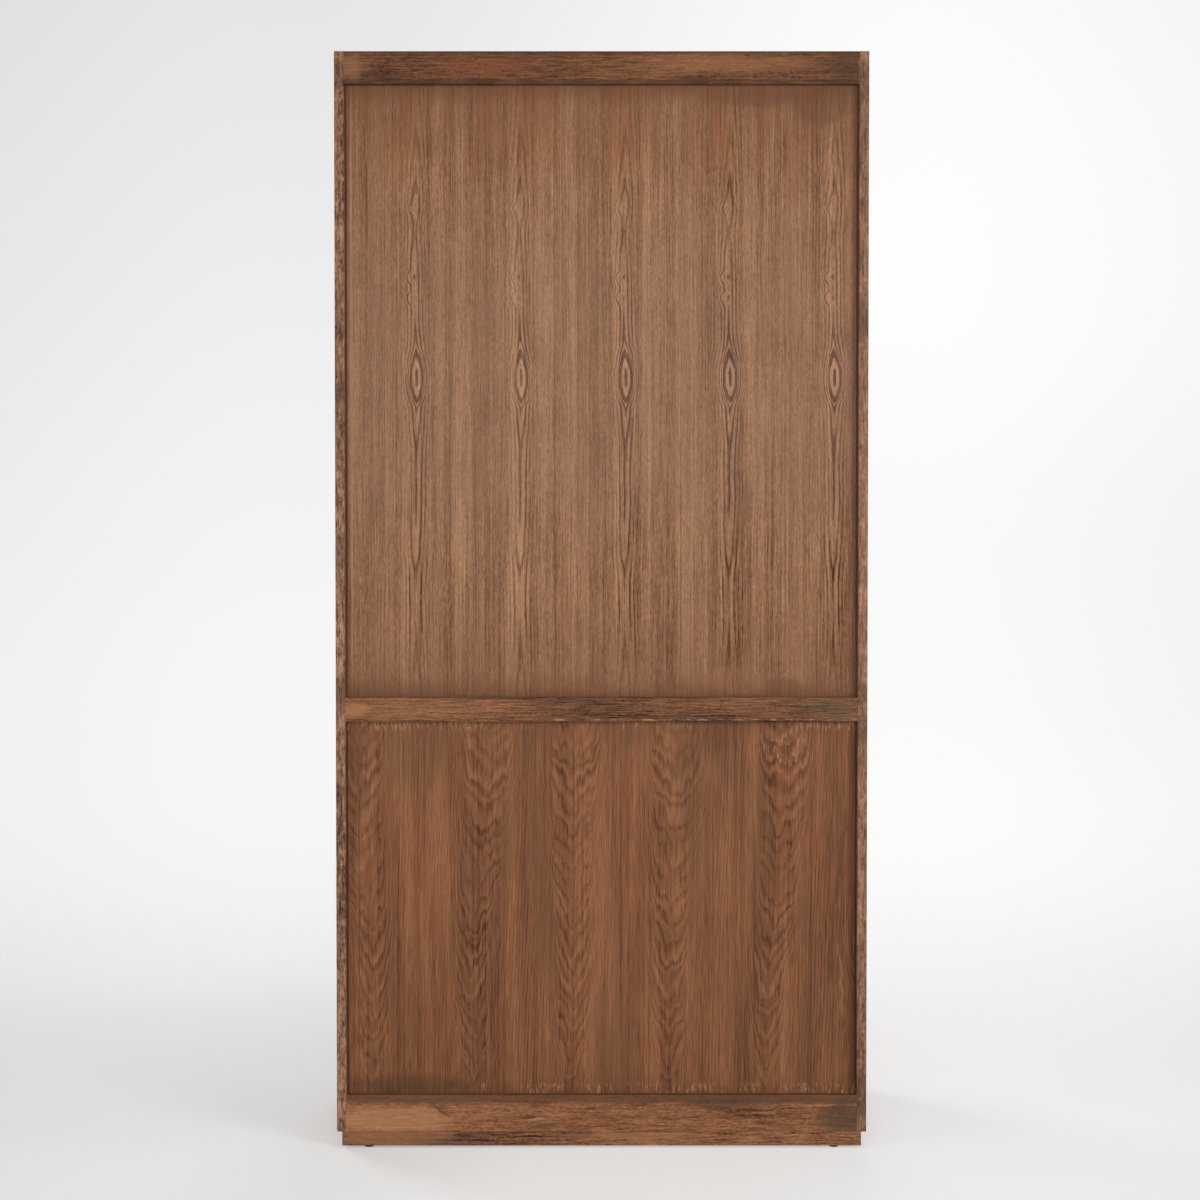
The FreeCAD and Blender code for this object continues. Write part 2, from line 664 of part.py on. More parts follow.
def half_disc(body):
    """The right half of the round plate, chamfered round its front edge."""
    sketch = new_sketch(body, "half_round", "XZ_Plane")
    foot = Vector(1, -1)
    head = Vector(1, 1)
    sketch.addGeometry(Part.Arc(foot, Vector(2, 0), head), False)
    sketch.addGeometry(Part.LineSegment(head, foot), False)
    sketch.addConstraint(Sketcher.Constraint("Coincident", 0, 2, 1, 1))
    sketch.addConstraint(Sketcher.Constraint("Coincident", 1, 2, 0, 1))
    sketch.addConstraint(Sketcher.Constraint("Coincident", 0, 3, -1, 1))
    sketch.addConstraint(Sketcher.Constraint("Vertical", 1))
    dimension(sketch, "edge", "door_gap / 2 + plate_inset", "DistanceX", -1, 1, 1, 1)
    dimension(sketch, "round", "plate_radius", "Radius", 0)
    pad = body.newObject("PartDesign::Pad", "plate")
    pad.Profile = sketch
    bind(pad, "Length", "plate_thickness")
    doc.recompute([sketch, pad, body])
    front = body.Shape.BoundBox.YMin
    chamfer = body.newObject("PartDesign::Chamfer", "bevelled")
    chamfer.Base = (pad, [
        f"Edge{index + 1}" for index, edge in enumerate(pad.Shape.Edges)
        if edge.BoundBox.YMax < front + edge.Length * FLAT_SHARE
    ])
    bind(chamfer, "Size", "plate_edge")
    doc.recompute([chamfer, body])


def pull_plate(label, height):
    """Half of a round plate, with two ears and the pin that carries the pull."""
    body = new_body(label)
    half_disc(body)
    for end in SIDES:
        ear_x = f"pull_offset + {end} * (barrel_length + ear_thickness + 2 * ear_gap) / 2"
        size = ("ear_thickness", "pull_standoff", "2 * ear_radius")
        block(body, "Additive", size, (ear_x, "-pull_standoff / 2"), "pull_rise - ear_radius")
        start = (f"{ear_x} - ear_thickness / 2", "-pull_standoff", "pull_rise")
        rod(body, "Additive", "ear_radius", "ear_thickness", start, ALONG_X)
    pin = "(barrel_length + 2 * ear_gap + 2 * ear_thickness)"
    start = (f"pull_offset - {pin} / 2", "-pull_standoff", "pull_rise")
    rod(body, "Additive", "pull_pin_radius", pin, start, ALONG_X)
    place(body, "0", "front_y", height)
    return body


def pull(label, height):
    """A turned drop pull that hangs by its eye from the plate's pin."""
    profile = [("0", "-drop_length")]
    profile += [
        (f"{radius} * drop_radius", f"-{fall} * drop_length")
        for fall, radius in reversed(PULL_SHARES)
    ]
    neck = "-(barrel_radius + pull_pin_radius) / 2"
    profile += [(f"{PULL_SHARES[0][1]} * drop_radius", neck), ("0", neck)]
    body = turned(label, profile)
    start = ("-barrel_length / 2", "0", "0")
    rod(body, "Additive", "barrel_radius", "barrel_length", start, ALONG_X)
    bore(body, "pull_pin_radius + running_clearance", "barrel_length", start, ALONG_X)
    place(body, "pull_offset", "front_y - pull_standoff", f"{height} + pull_rise")
    return body


def strike_plate(label, foot, tall):
    """A steel plate on the back of a meeting stile, opposite its magnet."""
    body = board(label, "strike_width", "strike_thickness", "strike_height")
    place(body, "door_gap / 2 + strike_inset + strike_width / 2",
          "door_back + strike_thickness / 2", f"{foot} + {tall} - strike_inset - strike_height")
    return body


def right_door(level, foot, tall, plate_height, hinges, leaf):
    """The pieces of a right-hand door: its frame, filling and metalwork."""
    label = level + "_right_"
    filling = {"lower": "panel", "upper": "slats"}[level]
    depth = {"lower": "door_groove_depth", "upper": "slat_tenon"}[level]
    fill = {"lower": door_panel, "upper": door_slats}[level]
    grooved = level == "lower"
    top_foot = f"{foot} + {tall} - door_rail_height"
    spots = [("hinge_x", "hinge_y", height, UPRIGHT) for height in hinges]
    return [
        door_stile(label + "hinge_stile", "hinge_stile_x", "-1", foot, tall, grooved),
        door_stile(label + "meeting_stile", "meeting_stile_x", "1", foot, tall, grooved),
        door_rail(label + "top_rail", top_foot, "0", filling),
        door_rail(label + "bottom_rail", foot, f"door_rail_height - {depth}", filling),
        fill(label + filling, foot, tall),
        copies(label + "hinge_leaves", leaf, spots),
        pull_plate(label + "pull_plate", plate_height),
        pull(label + "pull", plate_height),
        strike_plate(label + "strike_plate", foot, tall),
    ]


def carcass():
    """Everything that stands still, except the hinges."""
    side = side_panel("side_panel_right")
    pieces = [side, mirrored(side, "side_panel_left")]
    pieces.append(deck("top_panel", "height"))
    pieces.append(deck("middle_deck", "middle_rail_top"))
    pieces.append(deck("bottom_panel", "bottom_rail_top"))
    pieces += carcass_rails()
    pieces.append(back_panel("back_panel_upper", "middle_rail_top", "upper_opening"))
    pieces.append(back_panel("back_panel_lower", "bottom_rail_top", "lower_opening"))
    pieces.append(plinth_board("plinth_front", "plinth_front_y"))
    pieces.append(plinth_board("plinth_back", "plinth_back_y"))
    pieces += [plinth_sides(), floor_glides(), shelf_pins(), door_catches()]
    for label, foot in zip(("shelf_lower", "shelf_upper_low", "shelf_upper_high"), SHELF_FEET):
        pieces.append(shelf(label, foot))
    return pieces


def hinges_and_doors():
    """The hinges' fixed halves and pins, then the doors, the left ones mirrored."""
    end_knuckles = [
        ("-leaf_height / 2", "end_knuckle"),
        ("leaf_height / 2 - end_knuckle", "end_knuckle"),
    ]
    frame_leaf = leaf_master("frame_leaf_master", "1", "frame_leaf_width", end_knuckles)
    pieces = [copies("hinge_frame_leaves", frame_leaf, every_hinge()), hinge_pins()]
    middle_knuckle = [("-knuckle_length / 2", "knuckle_length")]
    door_leaf = leaf_master("door_leaf_master", "-1", "door_leaf_width", middle_knuckle)
    for level in DOORS:
        right = right_door(*level, door_leaf)
        pieces += right
        pieces += [mirrored(piece, piece.Label.replace("_right_", "_left_")) for piece in right]
    return pieces


def check_and_write(sub_parts):
    """Stop if anything failed, and write one file for each sub-part."""
    doc.recompute()
    for thing in doc.Objects:
        if "Invalid" in thing.State or "Error" in thing.State:
            raise ValueError(thing.Label + " failed")
    os.makedirs("parts", exist_ok=True)
    for thing in sub_parts:
        if thing.Shape.isNull() or not thing.Shape.isValid() or not thing.Shape.Solids:
            raise ValueError(thing.Label + " has no valid shape")
    for thing in sub_parts:
        thing.Shape.exportStep(f"parts/{thing.Label}.step")
    print(len(sub_parts), "sub-parts written")


check_and_write(carcass() + hinges_and_doors())
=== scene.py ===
# %% [markdown]
# # A tall cabinet seen from behind
#
# The construction is already there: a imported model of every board, door and hinge, in metres.
# This lesson gives it its looks. It loads the model as a fixed frame, builds the small metal
# pieces as meshes, and paints the wood with nodes, so that no picture file is needed.

import math

import bmesh
import bpy
from mathutils import Matrix, Vector


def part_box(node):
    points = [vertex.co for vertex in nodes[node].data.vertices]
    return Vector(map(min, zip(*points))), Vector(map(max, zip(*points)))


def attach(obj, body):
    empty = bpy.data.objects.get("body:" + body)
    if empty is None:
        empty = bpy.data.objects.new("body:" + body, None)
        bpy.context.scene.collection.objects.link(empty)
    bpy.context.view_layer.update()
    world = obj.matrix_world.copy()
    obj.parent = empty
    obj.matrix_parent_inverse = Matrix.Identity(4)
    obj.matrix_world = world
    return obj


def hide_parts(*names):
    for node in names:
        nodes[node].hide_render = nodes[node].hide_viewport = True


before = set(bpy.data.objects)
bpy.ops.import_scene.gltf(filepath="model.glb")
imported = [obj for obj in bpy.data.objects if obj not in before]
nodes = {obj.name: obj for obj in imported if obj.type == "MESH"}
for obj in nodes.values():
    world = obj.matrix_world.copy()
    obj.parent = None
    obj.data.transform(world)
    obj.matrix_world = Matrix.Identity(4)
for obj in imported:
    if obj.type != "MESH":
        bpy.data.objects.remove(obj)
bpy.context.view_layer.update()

# %% [markdown]
# ## The camera
#
# The photograph looks straight at the panelled back from the height of a person's chest, so
# the camera stands at +Y and looks along -Y. The picture's upright edges lean together a
# little towards the floor, which tells that it looks down by just over a degree.

# %% Camera
BACK_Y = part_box("back_top_rail")[1].y
CAMERA_DISTANCE = 3.745
CAMERA_HEIGHT = 1.12
CAMERA_SIDE = 0.003
CAMERA_PITCH = 1.294

camera_data = bpy.data.cameras.new("portrait_camera")
camera_data.sensor_width = 36
camera_data.lens = 59.85
camera = bpy.data.objects.new("portrait_camera", camera_data)
camera.location = (CAMERA_SIDE, BACK_Y + CAMERA_DISTANCE, CAMERA_HEIGHT)
camera.rotation_euler = (math.radians(90 - CAMERA_PITCH), 0, math.pi)
bpy.context.scene.collection.objects.link(camera)
bpy.context.scene.camera = camera
bpy.context.scene.view_settings.view_transform = "Standard"
print("camera at", [round(value, 3) for value in camera.location])

# %% [markdown]
# ## Colours
#
# Colours are easiest to pick as screen values from 0 to 255, but Blender mixes light in linear
# numbers. One small function turns the first kind into the second. Every colour below is given
# as a screen colour, and the finish class calls the function.


# %% Screen colours to linear ones
def shade(red, green, blue):
    """A screen colour, 0 to 255, as the linear colour that a shader takes."""
    def linear(value):
        share = value / 255
        return share / 12.92 if share <= 0.04045 else ((share + 0.055) / 1.055) ** 2.4
    return (linear(red), linear(green), linear(blue), 1.0)


def greys(*stops):
    """Stops of a ramp, each given as a place and the level of grey there."""
    return [(place, (level, level, level, 1.0)) for place, level in stops]


print("mid grey is", round(shade(128, 128, 128)[0], 3), "in linear light")

# %% [markdown]
# ## A short way to write node materials
#
# A wood finish needs some sixty nodes. Written out one by one they hide the idea, so a small
# class adds a node per call and hands back its output. `brush` lays a colour over what is
# there, as a finisher does with stain, and `grade` lightens and darkens it by a pattern. Wood
# under one stain keeps its hue from its dark lines to its pale ones, so `grade` adds to red
# most and to blue least, in shares worked out from the finish's first colour.
# Every pattern reads Object coordinates, so it stays on its board when a door swings.


# %% The finish class
class Painter:
    """Short calls that add nodes to a node tree."""

    def __init__(self, tree):
        self.nodes = tree.nodes
        self.links = tree.links

    def add(self, kind, wiring=None, **settings):
        """One shader node, with its settings, and its inputs set or linked."""
        node = self.nodes.new("ShaderNode" + kind)
        for label, value in settings.items():
            setattr(node, label, value)
        for key, value in (wiring or {}).items():
            if isinstance(value, bpy.types.NodeSocket):
                self.links.new(value, node.inputs[key])
            else:
                node.inputs[key].default_value = value
        return node

    def calc(self, operation, *values):
        return self.add("Math", dict(enumerate(values)), operation=operation).outputs[0]

    def times(self, value, other):
        return self.calc("MULTIPLY", value, other)

    def less(self, value, other):
        return self.calc("SUBTRACT", value, other)

    def size(self, value):
        return self.calc("ABSOLUTE", value)

    def gap(self, value, other):
        return self.size(self.less(value, other))

    def scaled(self, value, factor, start):
        """The value times a factor, on top of a start."""
        return self.calc("MULTIPLY_ADD", value, factor, start)

    def vector(self, x, y, z):
        return self.add("CombineXYZ", {0: x, 1: y, 2: z}).outputs[0]

    def stretched(self, vector, factors, shift=(0, 0, 0)):
        wiring = {0: vector, 1: factors, 2: shift}
        return self.add("VectorMath", wiring, operation="MULTIPLY_ADD").outputs[0]

    def noise(self, vector, detail=3.0, roughness=0.5):
        wiring = {"Vector": vector, "Scale": 1.0, "Detail": detail, "Roughness": roughness}
        return self.add("TexNoise", wiring).outputs[0]

    def spread(self, value, low, high, kind="LINEAR"):
        """Stretch the range from low to high over 0 to 1."""
        wiring = {0: value, 1: low, 2: high}
        return self.add("MapRange", wiring, interpolation_type=kind).outputs[0]

    def smooth(self, value, low, high):
        return self.spread(value, low, high, "SMOOTHSTEP")

    def ramp(self, value, stops):
        node = self.add("ValToRGB", {0: value})
        elements = node.color_ramp.elements
        while len(elements) < len(stops):
            elements.new(0.5)
        for element, (position, colour) in zip(elements, stops):
            element.position = position
            element.color = colour
        return node.outputs[0]

    def curve(self, value, points):
        """A curve through given points, from 0 to 1 across, and from 0 to 1 up."""
        node = self.add("FloatCurve", {1: value})
        line = node.mapping.curves[0]
        line.points[0].location = points[0]
        line.points[1].location = points[-1]
        for point in points[1:-1]:
            line.points.new(*point)
        node.mapping.update()
        return node.outputs[0]

    def looking(self):
        """1 for the rays that show a thing to the camera, straight or in a gloss."""
        ray = self.add("LightPath").outputs
        return self.calc("MAXIMUM", ray["Is Camera Ray"], ray["Is Glossy Ray"])


class Finish(Painter):
    """A material painted in layers, each made of a few nodes."""

    def __init__(self, name, colour, roughness, **uniform):
        self.material = bpy.data.materials.new(name)
        self.material.use_nodes = True
        super().__init__(self.material.node_tree)
        self.shader = self.nodes["Principled BSDF"]
        self.shader.inputs["Roughness"].default_value = roughness
        colour = shade(*colour)
        for label, value in uniform.items():
            self.shader.inputs[label.replace("_", " ")].default_value = value
        self.colour = colour
        reach = [0.5 * value ** 0.82 * colour[0] ** 0.18 for value in colour[:3]]
        self.lowest = tuple(0.5 - value for value in reach) + (1.0,)
        self.highest = tuple(0.5 + value for value in reach) + (1.0,)
        self.place = self.add("TexCoord").outputs["Object"]
        self.x, self.y, self.z = self.add("SeparateXYZ", {0: self.place}).outputs
        self.ragged = self.place

    def cloud(self, factors, detail=3.0, roughness=0.5, shift=(0, 0, 0)):
        """Noise on the object's own place, with a stretching factor for each axis."""
        return self.noise(self.stretched(self.place, factors, shift), detail, roughness)

    def mix(self, factor, under, over, how="MIX"):
        wiring = {0: factor, 6: under, 7: over}
        node = self.add("Mix", wiring, data_type="RGBA", blend_type=how)
        node.clamp_result = True
        return node.outputs[2]

    def tones(self, value, *stops):
        """Start the finish with colours that follow a value; stops are (place, colour)."""
        self.colour = self.ramp(value, [(place, shade(*colour)) for place, colour in stops])

    def brush(self, mask, colour, strength=1.0):
        """Lay a colour over the finish where the mask is 1."""
        if strength != 1.0:
            mask = self.times(mask, strength)
        self.colour = self.mix(mask, self.colour, shade(*colour))

    def grade(self, pattern, strength):
        """Darken where the pattern is below a half and lighten where it is above."""
        tint = self.mix(pattern, self.lowest, self.highest)
        self.colour = self.mix(strength, self.colour, tint, "LINEAR_LIGHT")

    def speckle(self, noise, strength, low=0.32, high=0.68):
        """Grade by a noise that is first stretched from its usual range to 0 and 1."""
        pattern = self.spread(noise, low, high)
        self.grade(pattern, strength)
        return pattern

    def fray(self, scale, reach):
        """Make the edges of all later spots ragged."""
        wiring = {"Vector": self.place, "Scale": scale, "Detail": 4.0, "Roughness": 0.65}
        cloud = self.add("TexNoise", wiring).outputs[1]
        shift = self.stretched(cloud, (reach,) * 3, (-reach / 2,) * 3)
        wiring = {0: self.place, 1: shift}
        self.ragged = self.add("VectorMath", wiring, operation="ADD").outputs[0]

    def spot(self, x, z, wide, tall, soft=0.5):
        """A round mark on an upright face, given by its middle and half sizes in metres."""
        scale = (1 / wide, 0, 1 / tall)
        reached = self.stretched(self.ragged, scale, (-x / wide, 0, -z / tall))
        length = self.add("VectorMath", {0: reached}, operation="LENGTH").outputs[1]
        return self.smooth(length, 1 + soft, 1 - soft)

    def dabs(self, *marks):
        """Brush round marks on: (x, z, half width, half height, softness, colour, strength)."""
        for *mark, colour, strength in marks:
            self.brush(self.spot(*mark), colour, strength)

    def stroke(self, start, end, half_width):
        """A straight mark between two points, given as (x, z), that fades at its ends."""
        (x0, z0), (x1, z1) = sorted((start, end), key=lambda point: point[1])
        x, _, z = self.add("SeparateXYZ", {0: self.ragged}).outputs
        lean = (x1 - x0) / (z1 - z0)
        across = self.scaled(z, -lean, self.less(x, x0 - lean * z0))
        mask = self.smooth(self.size(across), half_width, half_width * 0.3)
        reach = (z1 - z0) / 2
        along = self.gap(z, (z0 + z1) / 2)
        return self.times(mask, self.smooth(along, reach * 1.1, reach * 0.6))

    def worn_edges(self, radius):
        """Where the surface bends away within a radius: the arrises of a board."""
        rounded = self.add("Bevel", {"Radius": radius}, samples=6).outputs[0]
        flat = self.add("NewGeometry").outputs["True Normal"]
        wiring = {0: rounded, 1: flat}
        along = self.add("VectorMath", wiring, operation="DOT_PRODUCT").outputs[1]
        return self.smooth(self.less(1.0, along), 0.02, 0.25)

    def finished(self, relief, strength=0.3, distance=0.0006, gloss=None):
        """Wire up the colour, the relief and the roughness, and hand the material over."""
        self.links.new(self.colour, self.shader.inputs["Base Color"])
        wiring = {"Strength": strength, "Distance": distance, "Height": relief}
        self.links.new(self.add("Bump", wiring).outputs[0], self.shader.inputs["Normal"])
        if gloss is not None:
            self.links.new(gloss, self.shader.inputs["Roughness"])
        print(self.material.name, "has", len(self.nodes), "nodes")
        return self.material


def paint(material, *names):
    """Give CAD nodes a material through their own slots."""
    for name in names:
        for slot in nodes[name].material_slots:
            slot.material = material


# %% [markdown]
# ## Solid boards
#
# The frame is solid wood: rings cut lengthways show as long wavy lines, pores as short dark
# dashes, and the brown stain lies thicker in some places than in others. All of it comes from
# noise that is stretched along the grain. The arrises are rubbed pale, where hands and packing
# have taken the stain off.

# %% Helpers for boards
DIRT = (66, 44, 28)
THREAD = (60, 35, 19)
BARE = (180, 132, 92)
# How dark the wood is from one ring to the next.
RING_PROFILE = greys((0.0, 0.60), (0.50, 0.55), (0.80, 0.26), (0.88, 0.22), (1.0, 0.60))
THREAD_SPACING = 0.0068


def board_finish(name, grain, tones, seed, ring, wave, lines, dirt=0.4):
    """A stained board; grain is the axis it runs along, tones are dark, middle and pale."""
    dark, middle, pale = tones
    wood = Finish(name, middle, 0.6, Specular_IOR_Level=0.22)
    shift = (seed * 1.7, seed * 3.1, seed * 2.3)

    def pattern(run, cross, detail, roughness=0.55):
        """Noise stretched by run along the grain, and by cross on the other two axes."""
        factors = tuple(run if axis == grain else cross for axis in "xyz")
        return wood.cloud(factors, detail, roughness, shift)

    wood.tones(pattern(1.6, 16, 4), (0.34, dark), (0.5, middle), (0.68, pale))
    sideways = wood.z if grain == "x" else wood.x
    depth = wood.scaled(wood.y, 0.6, sideways)
    bend = wood.scaled(pattern(2.4, 22, 1), 2 * wave, wood.calc("DIVIDE", depth, ring))
    phase = wood.scaled(pattern(9, 60, 2), 0.9, bend)
    rings = wood.ramp(wood.calc("FRACT", phase), RING_PROFILE)
    uneven = wood.smooth(pattern(3, 30, 2), 0.36, 0.62)
    wood.grade(rings, wood.scaled(uneven, 0.8 * lines, 0.25 * lines))
    thread = wood.scaled(pattern(16, 60, 1), 2.2, wood.calc("DIVIDE", depth, THREAD_SPACING))
    thread = wood.calc("FRACT", thread)
    thread = wood.times(wood.smooth(thread, 0.62, 0.80), wood.smooth(thread, 1.0, 0.90))
    wood.brush(wood.times(thread, wood.smooth(pattern(9, 70, 2), 0.32, 0.48)),
               THREAD, 0.75 * lines)
    coarse = wood.speckle(pattern(22, 290, 3, 0.6), 0.16 + 0.28 * lines, 0.33, 0.67)
    fine = wood.speckle(pattern(130, 430, 4, 0.65), 0.30)
    flecks = wood.smooth(pattern(40, 300, 2), 0.60, 0.70)
    wood.brush(flecks, pale, 0.7 * lines)
    pores = wood.smooth(pattern(60, 480, 2), 0.57, 0.68)
    wood.brush(pores, dark, 0.5)
    wood.brush(wood.smooth(pattern(4, 9, 5), 0.53, 0.74), DIRT, 0.8 * dirt)
    wood.fray(45, 0.02)
    wood.grain = wood.mix(0.5, coarse, fine)
    relief = wood.scaled(rings, 0.5, wood.less(fine, pores))
    return wood, relief


def rub_edges(wood, radius=0.0025, strength=0.7):
    """Rub the stain off the arrises, here more and there less."""
    worn = wood.worn_edges(radius)
    patchy = wood.smooth(wood.cloud((26, 26, 26), 5, 0.6), 0.42, 0.62)
    wood.brush(wood.times(worn, patchy), BARE, strength)


# %% [markdown]
# ## The upper back panel
#
# This panel wears five leaves of veneer cut one after the other from the same log and laid
# side by side, so the same figure comes back five times. Near its middle a leaf passes close
# to the heart of the tree. There the rings close into a small eye, and above and below it they
# meet in long points. The distance to the heart is drawn as a curve over the height, and the
# rings are contours of the distance from it: the figure then bends as it does in real wood.
# The first few contours, those of the eye, get a row of tones of their own.

# %% Upper veneer
UPPER_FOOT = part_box("back_middle_rail")[1].z
UPPER_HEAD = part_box("back_top_rail")[0].z
INNER_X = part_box("side_panel_right")[0].x
UPPER_LEAF = 0.1965
UPPER_FIRST_SEAM = 0.439
UPPER_FIGURE = 0.0895
UPPER_RING = 0.0052
MOST_RINGS = 6.0
# Rings between the surface and the heart, as a share of the most, over the panel's height.
HEART_CURVE = [
    (0.0, 0.67), (0.06, 0.76), (0.17, 0.83), (0.24, 0.71), (0.31, 0.64), (0.40, 0.625),
    (0.44, 0.555), (0.468, 0.51), (0.478, 0.475), (0.488, 0.33), (0.506, 0.15), (0.524, 0.0),
    (0.542, 0.15), (0.560, 0.32), (0.572, 0.44), (0.584, 0.485), (0.605, 0.512), (0.66, 0.52),
    (0.72, 0.54), (0.76, 0.60), (0.80, 0.545), (0.83, 0.60), (0.893, 0.74), (1.0, 0.90),
]
# Sideways wander of the figure, a half being straight.
WANDER_CURVE = [
    (0.0, 0.42), (0.12, 0.52), (0.25, 0.50), (0.40, 0.47), (0.524, 0.50), (0.60, 0.54),
    (0.70, 0.59), (0.785, 0.55), (0.90, 0.50), (1.0, 0.46),
]
# Sharp kinks in the rings at three small knots, on one half of the figure only.
KINK_CURVE = [
    (0.0, 0.0), (0.638, 0.02), (0.655, 0.62), (0.664, 0.08), (0.672, 0.06), (0.688, 0.66),
    (0.698, 0.06), (0.785, 0.0), (0.80, 0.42), (0.812, 0.0), (1.0, 0.0),
]
UPPER_RING_PROFILE = greys(
    (0.0, 0.62), (0.44, 0.69), (0.60, 0.40), (0.67, 0.08), (0.87, 0.10), (1.0, 0.62))
# The eye itself, from its pupil outwards over the first rings.
EYE_RINGS = 4.0
EYE_PROFILE = greys(
    (0.0, 0.06), (0.11, 0.14), (0.17, 0.80), (0.38, 0.88), (0.43, 0.14), (0.63, 0.06),
    (0.66, 0.74), (0.70, 0.72), (0.73, 0.10), (0.77, 0.12), (0.81, 0.66), (1.0, 0.64))
# How the distance aside and the distance to the heart add up: 2 would give round contours.
HEART_POWER = 1.5
PALE_ZONE_HEIGHT = 1.46
GLINT_X = 0.4706


def leaf_place(wood, first_seam, width, figure):
    """Which leaf a point lies on, and how far it is from the middle of the leaf's figure."""
    across = wood.less(first_seam, wood.x)
    leaf = wood.calc("FLOOR", wood.calc("DIVIDE", across, width))
    start = wood.scaled(leaf, -width, across)
    return leaf, start, wood.less(start, figure)


def noise_on_leaves(wood, leaf, across):
    """A maker of noise that comes back on each leaf, a little changed."""
    def leaf_noise(scale, along, drift, detail):
        place = wood.vector(wood.times(across, scale), wood.times(leaf, drift),
                            wood.times(wood.z, along))
        return wood.noise(place, detail, 0.6)
    return leaf_noise


def edge_stain_and_shade(wood, foot, head, reach):
    """A mask that rises towards the edges of a panel between two heights: stain with painted
    shade, wider by the shaded -X side board than by the lit +X one. It also keeps a thin mask
    along the side boards, for a line of painted shade where panel and board meet.
    """
    wander = wood.cloud((9, 9, 9), 4, 0.6)
    side = wood.less(INNER_X, wood.size(wood.x))
    top = wood.less(head, wood.z)
    bottom = wood.less(wood.z, foot)
    lit = wood.scaled(wood.calc("GREATER_THAN", wood.x, 0.0), 6.0, 1.8)
    near = wood.calc("MINIMUM", wood.times(side, lit), wood.calc("MINIMUM", top, bottom))
    near = wood.scaled(wander, -reach, near)
    # A thin mask along the side boards, where a line of painted shade darkens the angle between
    # panel and board.
    wood.corner = wood.smooth(side, 0.0045, 0.0025)
    return wood.smooth(near, reach * 0.45, -reach * 0.5)


